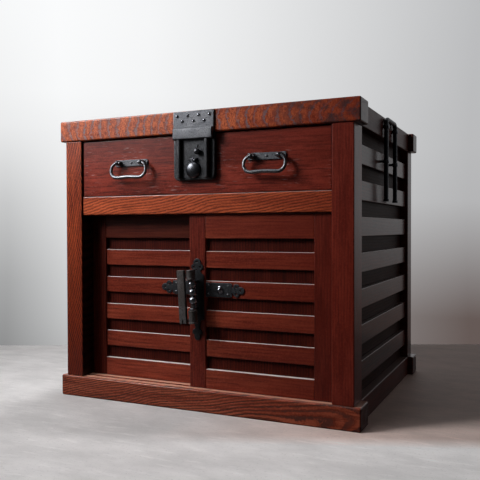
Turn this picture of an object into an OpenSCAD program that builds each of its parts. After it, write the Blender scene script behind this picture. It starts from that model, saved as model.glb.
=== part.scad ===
// Merchant chest: a small low counter chest of lacquered wood with iron fittings.
// One drawer above a pair of slatted sliding doors, slatted sides, two lifting
// carrying bars. Millimetres, +Z up, front towards -Y.

/* [Carcase] */
// Width over the ends of the front and rear beams
cabinet_w = 606; // [560:1:700]
// Height from the floor to the top of the beams
cabinet_h = 542; // [530:1:620]
// Depth over the faces of the front and rear beams
cabinet_d = 506; // [460:1:600]
// Height of the top and base beams and of the side rails
beam_h = 40; // [36:0.5:46]
// Depth of the front beams
front_beam_d = 51; // [50:0.5:60]
// Depth of the rear beams
rear_beam_d = 42; // [36:0.5:50]
// How far a beam's end stands past the posts
beam_end = 11.5; // [8:0.5:16]
// Width of a post, seen from the front
post_w = 38; // [34:0.5:50]
// Depth of a front post
front_post_d = 50; // [44:0.5:60]
// Depth of a rear post
rear_post_d = 42; // [36:0.5:50]
// How far the posts stand behind the faces of the beams
post_set = 3; // [1:0.5:5]
// Thickness of the side rails
side_rail_t = 24; // [20:0.5:30]
// Chamfer on the long arrises of beams, rails and posts
arris = 1.2; // [0.5:0.1:2]

/* [Mid rail and boards] */
// Height of the opening for the drawer, under the top beam
drawer_bay_h = 109.5; // [105:0.5:130]
// Height of the rail between the drawer and the doors
mid_rail_h = 35.5; // [30:0.5:40]
// Depth of that rail
mid_rail_d = 48; // [46:0.5:56]
// How far that rail stands behind the faces of the beams
mid_rail_set = 6.5; // [4:0.5:8]
// Depth of the rear rail at the same height
rear_mid_rail_d = 30; // [20:0.5:34]
// Thickness of the top, floor and dust boards
board_t = 12; // [9:0.5:15]
// How far the top board lies below the top of the beams
top_board_set = 2; // [0.5:0.5:6]
// Thickness of the back board
back_board_t = 8; // [6:0.5:9]

/* [Slatted sides] */
// Number of slats in each side
side_slats = 7; // [5:1:8]
// Height of a side slat
side_slat_h = 34; // [28:0.5:38]
// Thickness of a side slat
side_slat_t = 10; // [8:0.5:12]
// How far the slats lie behind the posts' outer faces
side_slat_set = 6; // [3:0.5:7]
// Thickness of the boards behind the side slats
side_board_t = 8; // [6:0.5:9]

/* [Sliding doors] */
// Thickness of a door
door_t = 15; // [14.5:0.5:17]
// How far the front door's face lies behind the faces of the beams
front_door_set = 14; // [13:0.5:15]
// How far the rear door's face lies behind the faces of the beams
rear_door_set = 36; // [35:0.5:36]
// How far the closed doors overlap
door_overlap = 37; // [33:0.5:44]
// Width of a door stile
door_stile_w = 33; // [28:0.5:36]
// Height of a door's top rail
door_top_rail_h = 43.5; // [36:0.5:50]
// Height of a door's bottom rail
door_bottom_rail_h = 34.5; // [28:0.5:40]
// Number of slats in a door
door_slats = 4; // [3:1:5]
// Height of a door slat
door_slat_h = 30.2; // [28:0.1:32]
// Thickness of a door slat
door_slat_t = 6; // [5:0.5:7]
// How far the slats lie behind the door's face
door_slat_set = 2; // [1:0.5:3]
// Thickness of the panel behind the slats
door_panel_t = 4; // [3:0.5:5]
// Gap between a door's shoulders and the sill or the rail above
door_shoulder_gap = 1; // [0.5:0.1:2]
// Gap between a closed door and the post
door_side_gap = 0.5; // [0.3:0.1:1]
// Thickness of the tongues that run in the tracks
tongue_t = 7; // [5:0.5:8]
// Depth of the two tracks in the base beam
sill_groove = 5; // [4:0.5:8]
// Depth of the two tracks in the rail above
head_groove = 12; // [9:0.5:15]
// How far the upper tongues reach into their tracks
head_reach = 6; // [4:0.5:8]
// Side clearance of a tongue in its track
track_gap = 0.5; // [0.3:0.1:1]
// Clearance under the lower tongues
run_gap = 0.3; // [0.2:0.05:0.5]

/* [Drawer] */
// How far the drawer front lies behind the faces of the beams
drawer_set = 7.5; // [7:0.5:9]
// Thickness of the drawer front
drawer_front_t = 18; // [14:0.5:22]
// Length of a drawer side
drawer_side_l = 410; // [330:1:412]
// Thickness of the drawer's sides and back
drawer_side_t = 11; // [8:0.5:14]
// Thickness of the drawer's bottom
drawer_bottom_t = 7; // [5:0.5:9]
// Height of the drawer's bottom above the lower edge of its sides
drawer_bottom_up = 4; // [2:0.5:8]
// Gap at each end of the drawer front
drawer_end_gap = 1; // [0.5:0.1:1.5]
// Gap under the drawer front
drawer_low_gap = 0.8; // [0.5:0.1:1.2]
// Gap above the drawer front
drawer_top_gap = 2; // [1:0.5:3]
// How far the drawer's sides stop short of the top of its front
drawer_side_drop = 11.7; // [8:0.1:30]
// Width of the runners under the drawer's sides
runner_w = 20; // [14:0.5:26]
// Height of the guides beside the drawer
guide_h = 12; // [8:0.5:20]
// Gap between the drawer and its guides and kickers
guide_gap = 0.5; // [0.3:0.1:0.8]

/* [Top lock] */
// How far the keeper plate on the top beam is wider than the lock case, at each side
keeper_lip = 0.5; // [0:0.5:4]
// Thickness of the keeper plate
keeper_t = 4; // [3:0.5:5]
// Gap between the keeper plate and the top of the beam
keeper_top_gap = 1.5; // [1:0.5:3]
// Radius of a keeper nail's head
keeper_nail_r = 2.9; // [2:0.1:3.5]
// Spacing of the nails in a row
keeper_nail_step = 22; // [18:0.5:24]
// Width of the lock case's flange
case_w = 81; // [76:0.5:90]
// Height of the lock case from its foot to the top of the drawer front
case_h = 83.2; // [78:0.5:90]
// Thickness of its flange
flange_t = 6; // [6:0.1:6.5]
// Radius of the flange's lower corners
flange_r = 10; // [6:0.5:14]
// Distance between the two ribs
rib_gap = 47; // [44:0.5:52]
// Width of a rib
rib_w = 7.5; // [6:0.5:9]
// How far the ribs stand out from the flange
rib_out = 11.5; // [10:0.5:13]
// How far the middle of the case stands out from the flange
middle_out = 4.5; // [4:0.5:5]
// Rim below the ribs
rib_rim = 5; // [3:0.5:8]
// How far the hood across the top of the case is narrower than it, at each side
hood_inset = 0.5; // [0:0.5:4]
// Height of the hood
hood_h = 20.5; // [18:0.5:24]
// How far the hood reaches up over the keeper plate
hood_over = 8; // [5:0.5:10]
// Thickness of the hood in front of the keeper plate
hood_t = 7.3; // [5:0.1:8]
// Gap between the hood and the keeper plate
hood_gap = 0.7; // [0.5:0.1:1]

/* [Bolt] */
// Offset of the bolt and its knob from the middle of the case
bolt_x = 9.5; // [7:0.5:11]
// Width of the bolt
bolt_w = 12; // [10:0.5:14]
// Thickness of the bolt
bolt_t = 3; // [2.6:0.1:3.2]
// Length of the bolt
bolt_l = 44; // [40:0.5:46]
// Travel of the bolt
bolt_travel = 10.5; // [8:0.5:12]
// Clearance round the bolt
bolt_gap = 0.3; // [0.2:0.05:0.4]
// Clearance round the bolt in its mortise in the beam
mortise_gap = 0.6; // [0.5:0.1:1]
// Spare depth of that mortise past the raised bolt
mortise_spare = 1.5; // [1:0.5:3]
// Thickness of the metal in front of the bolt
case_wall = 1.5; // [1.2:0.1:1.8]
// Radius of the knob
knob_r = 5.5; // [4:0.5:6]
// Height of the knob above the foot of the case
knob_up = 50.5; // [50:0.5:54]
// Radius of the knob's shank
shank_r = 1.7; // [1.2:0.1:2]

/* [Keyhole cover] */
// Radius of the domed cover
cover_r = 15; // [12:0.5:16]
// Height of the dome
cover_out = 8; // [6:0.5:9]
// Height of the cover's hinge above the foot of the case
cover_hinge_up = 37; // [35:0.5:38]
// Radius of the hinge pin
cover_pin_r = 1.4; // [1.2:0.1:1.6]
// Radius of the knuckles
knuckle_r = 3; // [2.6:0.1:3.1]
// Width of the cover's knuckle
knuckle_w = 9; // [7:0.5:11]
// Width of each lug beside it
lug_w = 3; // [2:0.5:4]
// Width of the keyhole
keyhole_w = 4; // [3:0.5:5]
// Height of the keyhole
keyhole_h = 12; // [9:0.5:14]

/* [Bail handles] */
// Distance from the middle of the drawer to the middle of a handle
handle_x = 138; // [110:0.5:160]
// Height of the handle's pivot above the foot of the drawer front
handle_up = 61; // [55:0.5:70]
// Width of the back plate
handle_plate_w = 72; // [68:0.5:80]
// Height of the back plate
handle_plate_h = 12.5; // [11:0.5:14]
// Thickness of the back plate
handle_plate_t = 2.5; // [2:0.5:3]
// Distance between the two eyes
eye_span = 51.6; // [48:0.2:54]
// Radius of an eye post
eye_r = 4.8; // [4.6:0.1:5.2]
// Distance from the drawer front to the bail's axis
bail_out = 11.5; // [10:0.5:14]
// Radius of the bail's bar
bail_r = 2.8; // [2.4:0.1:3]
// Distance between the bail's two sides, centre to centre
bail_w = 75; // [72:0.5:80]
// Drop of the bail below its pivot
bail_drop = 27; // [25:0.5:32]
// Gap between an eye and the start of the bend beside it
bail_bend_gap = 0.4; // [0.3:0.1:1]
// Radius of the bail's lower bends
bail_low_bend = 13; // [11:0.5:15]
// Running clearance of the bail in its eyes
bail_gap = 0.08; // [0.05:0.01:0.1]

/* [Door fittings] */
// Thickness of the flat straps and plates on the doors
strap_t = 2; // [1.5:0.5:2]
// Height of a strap
strap_h = 26; // [22:0.5:28]
// Length of the strap on each door, from the stile to its tip
strap_l = 75; // [68:0.5:90]
// Radius of the small lobes on a strap
lobe_r = 5; // [4:0.5:6]
// Radius of the three round leaves at a strap's tip
leaf_r = 6; // [5:0.5:7]
// Radius of a piercing in a leaf
pierce_r = 1.6; // [1:0.1:2]
// Height of the middle of the straps above the floor
strap_z = 220; // [214:0.5:226]
// Width of the plate on the stile
stile_plate_w = 28; // [24:0.5:31]
// Height of the plate's straight part above the straps' middle
stile_plate_up = 32; // [28:0.5:40]
// Depth of the plate's straight part below the straps' middle
stile_plate_down = 55; // [50:0.5:60]
// Height of the pointed end below the straight part
point_h = 37; // [30:0.5:44]
// Width of the pointed end
point_w = 26; // [20:0.5:30]
// Radius of the domed stud on the right strap
stud_r = 7; // [5:0.5:9]
// Distance from the stile to the stud
stud_x = 29; // [24:0.5:34]
// Radius of a strap nail's head
strap_nail_r = 2.2; // [1.6:0.1:2.6]
// How far a strap nail's head stands out
strap_nail_out = 1.2; // [0.8:0.1:1.6]

/* [Staple on the door] */
// Distance of the staple's post from the plate behind it
staple_out = 9; // [8.5:0.5:10]
// Radius of the staple's post
staple_r = 4; // [3:0.5:5]
// Radius of a bead
bead_r = 7.8; // [7.5:0.1:8.2]
// How far the beads stand in front of the staple's post
bead_out = 10.5; // [9.5:0.5:11]
// How far the beads stand to the right of the padlock's rod
bead_side = 1; // [0:0.1:1.2]
// Distance from one bead to the next
bead_step = 14.3; // [13:0.1:16]
// Number of beads
beads = 3; // [2:1:3]
// Thickness of the staple's two eyes
eye_t = 2.7; // [2:0.1:3.5]
// Distance from the upper eye to the lower
eye_drop = 50; // [48:0.5:60]
// Outer radius of the eyes
eye_ring_r = 6.5; // [5:0.5:7]
// Height of the upper eye above the straps' middle
eye_up = 15; // [12:0.1:20]

/* [Padlock] */
// Distance of the padlock's axis from the plate behind it
padlock_out = 22; // [20:0.5:24]
// Lean of the padlock from upright, in degrees
padlock_lean = 3.5; // [0:0.5:5]
// Radius of the shackle's rod
rod_r = 2.5; // [2:0.1:3]
// Clearance of the rod in the eyes
rod_gap = 0.1; // [0.05:0.01:0.1]
// Gap between the padlock's tubes and the eyes, at their nearest
hang_gap = 0.3; // [0.2:0.05:0.5]
// Radius of the two tubes
tube_r = 8.5; // [7:0.1:9]
// Length of the upper tube
upper_tube_l = 18; // [14:0.5:22]
// Length of the lower tube
lower_tube_l = 24; // [16:0.5:28]
// How far the rod enters the lower tube
rod_entry = 15; // [10:0.5:16]
// Width of the flat bar
bar_w = 14.5; // [12:0.5:16]
// Thickness of the flat bar
bar_t = 7; // [6:0.5:8]
// Distance from the rod to the middle of the flat bar
bar_x = 19.8; // [18:0.1:22]
// Thickness of the links behind the flat bar
link_t = 2.5; // [2:0.5:3]
// Gap between the shackle's link and the back of the flat bar
link_gap = 0.5; // [0.3:0.1:0.6]
// Height of the links
link_h = 6; // [4:0.5:8]

/* [Carrying bars] */
// Radius of a carrying bar
carry_r = 3; // [2.5:0.1:3.2]
// Distance between a bar's two legs
carry_w = 80; // [70:0.5:120]
// Length of a leg below the top of the bar
carry_l = 156; // [140:0.5:170]
// Gap between the top of the bar and the top of the beams
carry_top_gap = 2; // [1:0.5:4]
// Radius of the bends
carry_bend = 11; // [8:0.5:13]
// Radius of the flared feet
foot_r = 5; // [4.5:0.1:5.5]
// Height of the flared feet
foot_h = 5; // [3:0.5:8]
// Distance from the side rail's face to the bar's axis
carry_out = 5.6; // [5.4:0.1:7]
// Outer radius of a staple's eye
carry_eye_r = 5.4; // [5:0.1:5.8]
// Height of a staple's eye
carry_eye_h = 6; // [4:0.5:8]
// Clearance of the bar in the eyes
carry_gap = 0.1; // [0.05:0.01:0.2]
// Gap between the bar's bends and the upper eyes that they rest on
carry_rest_gap = 0.3; // [0.2:0.05:0.5]

/* [Hidden] */

$fn = 48;

// Colours of the lacquered wood, the plain inner wood and the iron
red_wood = [0.42, 0.14, 0.08];
dark_wood = [0.27, 0.10, 0.07];
plain_wood = [0.62, 0.47, 0.31];
iron = [0.16, 0.16, 0.17];
bright_iron = [0.34, 0.34, 0.36];

// A cut runs this far past the face that it opens
cut = 0.5;

// Carcase lines, with y = 0 at the faces of the front beams
half_w = cabinet_w / 2;
post_x = half_w - beam_end;
inner_x = post_x - post_w;
beam_z = cabinet_h - beam_h;
rear_beam_y = cabinet_d - rear_beam_d;
front_post_y = post_set;
front_post_back = post_set + front_post_d;
rear_post_back = cabinet_d - post_set;
rear_post_y = rear_post_back - rear_post_d;
slat_face_x = post_x - side_slat_set;
side_board_x = slat_face_x - side_slat_t;
side_in_x = side_board_x - side_board_t;
rail_in_x = post_x - side_rail_t;
mid_rail_back = mid_rail_set + mid_rail_d;
drawer_z = beam_z - drawer_bay_h;
mid_rail_z = drawer_z - mid_rail_h;
back_board_y = rear_post_y + rear_mid_rail_d;

// Side slats are spread evenly between the rails
side_gap = (beam_z - beam_h - side_slats * side_slat_h) / (side_slats + 1);
function side_slat_z(i) = beam_h + side_gap + i * (side_slat_h + side_gap);

// Doors
door_edge = inner_x - door_side_gap;
door_z = beam_h + door_shoulder_gap;
door_top = mid_rail_z - door_shoulder_gap;
door_low = door_z + door_bottom_rail_h;
door_high = door_top - door_top_rail_h;
door_gap_h = (door_high - door_low - door_slats * door_slat_h) / (door_slats + 1);
tongue_set = (door_t - tongue_t) / 2;
low_tongue = door_shoulder_gap + sill_groove - run_gap;
high_tongue = door_shoulder_gap + head_reach;
function door_slat_z(i) = door_low + door_gap_h + i * (door_slat_h + door_gap_h);

// Drawer
drawer_x = inner_x - drawer_end_gap;
drawer_low = drawer_z + drawer_low_gap;
drawer_high = beam_z - drawer_top_gap;
drawer_in_y = drawer_set + drawer_front_t;
drawer_rear_y = drawer_in_y + drawer_side_l;
drawer_side_top = drawer_high - drawer_side_drop;
runner_z = drawer_low - run_gap;
dust_z = drawer_z - board_t;

// Top lock
case_top = drawer_high;
case_z = case_top - case_h;
flange_y = drawer_set - flange_t;
middle_y = flange_y - middle_out;
rib_y = flange_y - rib_out;
rib_x = rib_gap / 2;
keeper_w = case_w + 2 * keeper_lip;
hood_w = case_w - 2 * hood_inset;
hood_top = beam_z + hood_over;
hood_z = hood_top - hood_h;
hood_back = -keeper_t - hood_gap;
hood_y = hood_back - hood_t;
bolt_y = flange_y + case_wall + bolt_gap;
bolt_top = case_top - bolt_gap;
bolt_z = bolt_top - bolt_l;
mortise_top = bolt_top + bolt_travel + mortise_spare;
knob_z = case_z + knob_up;
cover_axis_z = case_z + cover_hinge_up;
cover_gap = 0.3;
cover_axis_y = middle_y - knuckle_r - 2 * cover_gap;
cover_z = cover_axis_z - knuckle_r - cover_gap - cover_r;
lug_x = knuckle_w / 2 + cover_gap;

// Bail handles
bail_y = drawer_set - bail_out;
bail_z = drawer_low + handle_up;
bail_top_bend = (bail_w - eye_span) / 2 - eye_r - bail_bend_gap;

// Door fittings
strap_face_y = front_door_set + door_slat_set - strap_t;
left_strap_face_y = rear_door_set + door_slat_set - strap_t;
plate_y = front_door_set - strap_t;
stile_mid_x = (door_stile_w - door_overlap) / 2;
stile_edge_x = door_stile_w - door_overlap / 2;
eye_top_z = strap_z + eye_up + eye_t;
eye_low_z = eye_top_z - eye_drop;
staple_y = plate_y - staple_out;
bead_top_z = eye_top_z - eye_t / 2 - 0.75 * bead_r;

// Padlock, along its own leaning axis from the middle of the upper eye
padlock_y = plate_y - padlock_out;
eye_mid_z = eye_top_z - eye_t / 2;
lean_gap = hang_gap + eye_ring_r * sin(padlock_lean);
upper_tube_z = eye_t / 2 + lean_gap;
lower_tube_top = -eye_drop - eye_t / 2 - lean_gap;
lower_tube_z = lower_tube_top - lower_tube_l;
rod_z = lower_tube_top - rod_entry;
bar_top = upper_tube_z + upper_tube_l;

// Carrying bars
carry_x = post_x + carry_out;
carry_y = cabinet_d / 2;
carry_top = cabinet_h - carry_top_gap - carry_r;
carry_foot_z = carry_top - carry_l;
upper_eye_z = carry_top - carry_bend - carry_rest_gap - carry_eye_h / 2;
lower_eye_z = side_slat_z(side_slats - 1) + side_slat_h / 2;

// The origin lies under the middle of the whole chest, fittings included
front_reach = tube_r - padlock_y;
front_shift = (front_reach - cabinet_d) / 2;

module stood() {
    translate([0, front_shift, 0]) children();
}

module block(x0, x1, y0, y1, z0, z1) {
    translate([x0, y0, z0]) cube([x1 - x0, y1 - y0, z1 - z0]);
}

// Both sides of the chest carry the same piece
module both_sides() {
    children();
    mirror([1, 0, 0]) children();
}

// Section of a member with its four arrises taken off
module member_section(w, h, c) {
    polygon([
        [c, 0], [w - c, 0], [w, c], [w, h - c],
        [w - c, h], [c, h], [0, h - c], [0, c]
    ]);
}

// A member that runs from side to side
module member_x(x0, x1, y0, y1, z0, z1) {
    translate([x0, y0, z0])
        rotate([90, 0, 90])
            linear_extrude(x1 - x0) member_section(y1 - y0, z1 - z0, arris);
}

// A member that runs from front to back
module member_y(x0, x1, y0, y1, z0, z1) {
    translate([x0, y1, z0])
        rotate([90, 0, 0])
            linear_extrude(y1 - y0) member_section(x1 - x0, z1 - z0, arris);
}

// A member that stands upright
module member_z(x0, x1, y0, y1, z0, z1) {
    translate([x0, y0, z0])
        linear_extrude(z1 - z0) member_section(x1 - x0, y1 - y0, arris);
}

// A flat shape drawn as seen from the front, with its face at y and its back behind it
module plate_at(y, t) {
    translate([0, y + t, 0]) rotate([90, 0, 0]) linear_extrude(t) children();
}

// A cylinder that runs from front to back
module pin_y(x, z, y0, y1, r) {
    translate([x, y1, z]) rotate([90, 0, 0]) cylinder(h = y1 - y0, r = r);
}

// A cylinder that runs from side to side
module pin_x(x0, x1, y, z, r) {
    translate([x0, y, z]) rotate([0, 90, 0]) cylinder(h = x1 - x0, r = r);
}

// A domed head of radius r that stands out by h in front of the plane y
module dome(x, z, y, r, h) {
    ball_r = (r * r + h * h) / (2 * h);
    intersection() {
        translate([x, y - h + ball_r, z]) sphere(r = ball_r);
        pin_y(x, z, y - h - cut, y, r + cut);
    }
}

// A quarter of a round bar bent to radius bend, in the x-z plane, from +x round to +z
module bend_xz(bend, r) {
    rotate([90, 0, 0]) rotate_extrude(angle = 90) translate([bend, 0]) circle(r = r);
}

// The mortise under the front beam receives the drawer's bolt
module front_top_beam() {
    half = bolt_w / 2 + mortise_gap;
    stood() color(red_wood) difference() {
        member_x(-half_w, half_w, 0, front_beam_d, beam_z, cabinet_h);
        block(bolt_x - half, bolt_x + half, bolt_y - mortise_gap,
            bolt_y + bolt_t + mortise_gap, beam_z - cut, mortise_top);
    }
}

module rear_top_beam() {
    stood() color(red_wood)
        member_x(-half_w, half_w, rear_beam_y, cabinet_d, beam_z, cabinet_h);
}

module side_top_rails() {
    stood() color(dark_wood) both_sides()
        member_y(rail_in_x, post_x, front_beam_d, rear_beam_y, beam_z, cabinet_h);
}

module top_board() {
    stood() color(dark_wood)
        block(-rail_in_x, rail_in_x, front_beam_d, rear_beam_y,
            cabinet_h - top_board_set - board_t, cabinet_h - top_board_set);
}

// The base beam is also the sill, with a track for each door
module front_base_beam() {
    stood() color(red_wood) difference() {
        member_x(-half_w, half_w, 0, front_beam_d, 0, beam_h);
        for (y = [front_door_set, rear_door_set])
            block(-inner_x, inner_x, y + tongue_set - track_gap,
                y + tongue_set + tongue_t + track_gap,
                beam_h - sill_groove, beam_h + cut);
    }
}

module rear_base_beam() {
    stood() color(red_wood)
        member_x(-half_w, half_w, rear_beam_y, cabinet_d, 0, beam_h);
}

module side_base_rails() {
    stood() color(dark_wood) both_sides()
        member_y(rail_in_x, post_x, front_beam_d, rear_beam_y, 0, beam_h);
}

module floor_board() {
    stood() color(plain_wood)
        block(-rail_in_x, rail_in_x, front_beam_d, rear_beam_y, beam_h - board_t, beam_h);
}

module front_posts() {
    stood() color(red_wood) both_sides()
        member_z(inner_x, post_x, front_post_y, front_post_back, beam_h, beam_z);
}

module rear_posts() {
    stood() color(dark_wood) both_sides()
        member_z(inner_x, post_x, rear_post_y, rear_post_back, beam_h, beam_z);
}

// The rail above the doors holds their upper tongues
module mid_rail() {
    stood() color(red_wood) difference() {
        member_x(-inner_x, inner_x, mid_rail_set, mid_rail_back, mid_rail_z, drawer_z);
        for (y = [front_door_set, rear_door_set])
            block(-inner_x - cut, inner_x + cut, y + tongue_set - track_gap,
                y + tongue_set + tongue_t + track_gap,
                mid_rail_z - cut, mid_rail_z + head_groove);
    }
}

module rear_mid_rail() {
    stood() color(plain_wood)
        block(-inner_x, inner_x, rear_post_y, back_board_y, mid_rail_z, drawer_z);
}

module dust_board() {
    stood() color(plain_wood)
        block(-side_in_x, side_in_x, mid_rail_back, rear_post_y,
            dust_z - board_t, dust_z);
}

// Each runner carries a drawer side and has a guide beside it
module drawer_runners() {
    stood() color(plain_wood) both_sides() {
        block(inner_x - runner_w, side_in_x, mid_rail_back, rear_post_y, dust_z, runner_z);
        block(drawer_x + guide_gap, side_in_x, mid_rail_back, rear_post_y,
            runner_z, runner_z + guide_h);
    }
}

// Kickers above the drawer's sides keep the open drawer level
module drawer_kickers() {
    stood() color(plain_wood) both_sides()
        block(inner_x - runner_w, side_in_x, mid_rail_back, rear_post_y,
            drawer_side_top + guide_gap, beam_z);
}

module side_boards() {
    stood() color(dark_wood) both_sides()
        block(side_in_x, side_board_x, front_post_back, rear_post_y, beam_h, beam_z);
}

module side_slat_set_of() {
    for (i = [0 : side_slats - 1])
        member_y(side_board_x, slat_face_x, front_post_back, rear_post_y,
            side_slat_z(i), side_slat_z(i) + side_slat_h);
}

module left_side_slats() {
    stood() color(dark_wood) mirror([1, 0, 0]) side_slat_set_of();
}

module right_side_slats() {
    stood() color(dark_wood) side_slat_set_of();
}

module back_board() {
    stood() color(plain_wood)
        block(-inner_x, inner_x, back_board_y, back_board_y + back_board_t, beam_h, beam_z);
}

// Plate on the beam that the drawer's hood laps over
module keeper_plate() {
    stood() color(iron)
        block(-keeper_w / 2, keeper_w / 2, -keeper_t, 0, beam_z, cabinet_h - keeper_top_gap);
}

// Four nails above three, in two staggered rows
module keeper_nails() {
    row_gap = 10;
    row_z = cabinet_h - keeper_top_gap - 8;
    stood() color(bright_iron) {
        for (i = [-1.5 : 1 : 1.5])
            dome(i * keeper_nail_step, row_z, -keeper_t, keeper_nail_r, 2.4);
        for (i = [-1 : 1])
            dome(i * keeper_nail_step, row_z - row_gap, -keeper_t, keeper_nail_r, 2.4);
    }
}

// An eye round the leg of a carrying bar, on a shank that reaches the wood behind
module carrying_staple(y, z, face_x) {
    translate([0, 0, z - carry_eye_h / 2]) difference() {
        union() {
            translate([carry_x, y, 0]) cylinder(h = carry_eye_h, r = carry_eye_r);
            block(face_x, carry_x, y - carry_r, y + carry_r, 0, carry_eye_h);
        }
        translate([carry_x, y, -cut])
            cylinder(h = carry_eye_h + 2 * cut, r = carry_r + carry_gap);
    }
}

module carrying_bar_staples() {
    stood() color(iron) both_sides()
        for (y = [carry_y - carry_w / 2, carry_y + carry_w / 2]) {
            carrying_staple(y, upper_eye_z, post_x);
            carrying_staple(y, lower_eye_z, slat_face_x);
        }
}

module drawer_front() {
    stood() color(red_wood)
        block(-drawer_x, drawer_x, drawer_set, drawer_in_y, drawer_low, drawer_high);
}

module drawer_sides() {
    stood() color(plain_wood) both_sides()
        block(drawer_x - drawer_side_t, drawer_x, drawer_in_y, drawer_rear_y,
            drawer_low, drawer_side_top);
}

module drawer_back() {
    stood() color(plain_wood)
        block(-drawer_x + drawer_side_t, drawer_x - drawer_side_t,
            drawer_rear_y - drawer_side_t, drawer_rear_y,
            drawer_low + drawer_bottom_up, drawer_side_top);
}

module drawer_bottom() {
    stood() color(plain_wood)
        block(-drawer_x + drawer_side_t, drawer_x - drawer_side_t,
            drawer_in_y, drawer_rear_y - drawer_side_t,
            drawer_low + drawer_bottom_up,
            drawer_low + drawer_bottom_up + drawer_bottom_t);
}

// Flange of the lock case, with its two lower corners rounded
module flange_shape() {
    half = case_w / 2;
    translate([-half, case_z + flange_r]) square([case_w, case_h - flange_r]);
    translate([-half + flange_r, case_z]) square([case_w - 2 * flange_r, flange_r + cut]);
    for (x = [-half + flange_r, half - flange_r])
        translate([x, case_z + flange_r]) circle(r = flange_r);
}

// Pocket for the bolt, slot for its shank, keyhole and hinge lugs are all in the case
module lock_case() {
    bolt_half = bolt_w / 2 + bolt_gap;
    stood() color(iron) difference() {
        union() {
            plate_at(flange_y, flange_t) flange_shape();
            block(-rib_x - cut, rib_x + cut, middle_y, flange_y + cut,
                case_z + rib_rim, hood_z);
            both_sides() {
                block(rib_x, rib_x + rib_w, rib_y + rib_w / 2, flange_y + cut,
                    case_z + rib_rim, hood_z);
                translate([rib_x + rib_w / 2, rib_y + rib_w / 2, case_z + rib_rim])
                    cylinder(h = hood_z - case_z - rib_rim, r = rib_w / 2);
            }
            both_sides() {
                pin_x(lug_x, lug_x + lug_w, cover_axis_y, cover_axis_z, knuckle_r);
                block(lug_x, lug_x + lug_w, cover_axis_y, middle_y + cut,
                    cover_axis_z - knuckle_r, cover_axis_z + knuckle_r);
            }
        }
        block(bolt_x - bolt_half, bolt_x + bolt_half, bolt_y - bolt_gap,
            bolt_y + bolt_t + bolt_gap, bolt_z - bolt_gap, case_top + cut);
        block(bolt_x - shank_r - bolt_gap, bolt_x + shank_r + bolt_gap,
            middle_y - cut, bolt_y,
            knob_z - shank_r - bolt_gap, knob_z + shank_r + bolt_travel + bolt_gap);
        block(-keyhole_w / 2, keyhole_w / 2, middle_y - cut, drawer_set + cut,
            cover_z - keyhole_h / 2, cover_z + keyhole_h / 2);
        pin_x(-lug_x - lug_w - cut, lug_x + lug_w + cut, cover_axis_y, cover_axis_z,
            cover_pin_r);
    }
}

// The hood closes the top of the case and laps up over the keeper plate
module lock_hood() {
    half = hood_w / 2;
    stood() color(iron) {
        block(-half, half, hood_y, flange_y, hood_z, case_top);
        block(-half, half, hood_y, hood_back, case_top - cut, hood_top);
    }
}

module cover_pin() {
    stood() color(bright_iron)
        pin_x(-lug_x - lug_w, lug_x + lug_w, cover_axis_y, cover_axis_z, cover_pin_r);
}

module bail_plate_shape(x) {
    half = handle_plate_w / 2;
    corner = 2;
    translate([x - half, bail_z - handle_plate_h / 2 + corner])
        square([handle_plate_w, handle_plate_h - 2 * corner]);
    translate([x - half + corner, bail_z - handle_plate_h / 2])
        square([handle_plate_w - 2 * corner, handle_plate_h]);
    for (dx = [-half + corner, half - corner])
        for (dz = [-handle_plate_h / 2 + corner, handle_plate_h / 2 - corner])
            translate([x + dx, bail_z + dz]) circle(r = corner);
}

module bail_plates() {
    stood() color(iron)
        for (x = [-handle_x, handle_x])
            plate_at(drawer_set - handle_plate_t, handle_plate_t) bail_plate_shape(x);
}

module bail_plate_nails() {
    stood() color(bright_iron)
        for (x = [-handle_x, handle_x])
            dome(x, bail_z, drawer_set - handle_plate_t, strap_nail_r, strap_nail_out);
}

// A round-headed post with a cross hole that holds one end of a bail
module bail_eye(x) {
    difference() {
        union() {
            pin_y(x, bail_z, bail_y, drawer_set - handle_plate_t, eye_r);
            translate([x, bail_y, bail_z]) sphere(r = eye_r);
        }
        pin_x(x - eye_r - cut, x + eye_r + cut, bail_y, bail_z, bail_r + bail_gap);
    }
}

module bail_eyes() {
    stood() color(iron)
        for (x = [-handle_x, handle_x])
            for (side = [-1, 1])
                bail_eye(x + side * eye_span / 2);
}

module lock_bolt() {
    stood() color(iron)
        block(bolt_x - bolt_w / 2, bolt_x + bolt_w / 2, bolt_y, bolt_y + bolt_t,
            bolt_z, bolt_top);
}

module bolt_knob() {
    stood() color(bright_iron) {
        pin_y(bolt_x, knob_z, middle_y - 2, bolt_y, shank_r);
        translate([bolt_x, middle_y - bolt_gap - knob_r * 0.8, knob_z]) intersection() {
            sphere(r = knob_r);
            translate([-knob_r, -knob_r - cut, -knob_r])
                cube([2 * knob_r, knob_r * 1.8 + cut, 2 * knob_r]);
        }
    }
}

// Domed cover that hangs over the keyhole from a knuckle at its top
module keyhole_cover() {
    face_y = middle_y - cover_gap;
    stood() color(bright_iron) difference() {
        union() {
            dome(0, cover_z, face_y, cover_r, cover_out);
            pin_x(-knuckle_w / 2, knuckle_w / 2, cover_axis_y, cover_axis_z, knuckle_r);
            block(-knuckle_w / 2, knuckle_w / 2, cover_axis_y - knuckle_r, face_y - cover_gap,
                cover_axis_z - 1.8 * knuckle_r, cover_axis_z);
        }
        pin_x(-knuckle_w / 2 - cut, knuckle_w / 2 + cut, cover_axis_y, cover_axis_z,
            cover_pin_r + bail_gap);
    }
}

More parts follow.
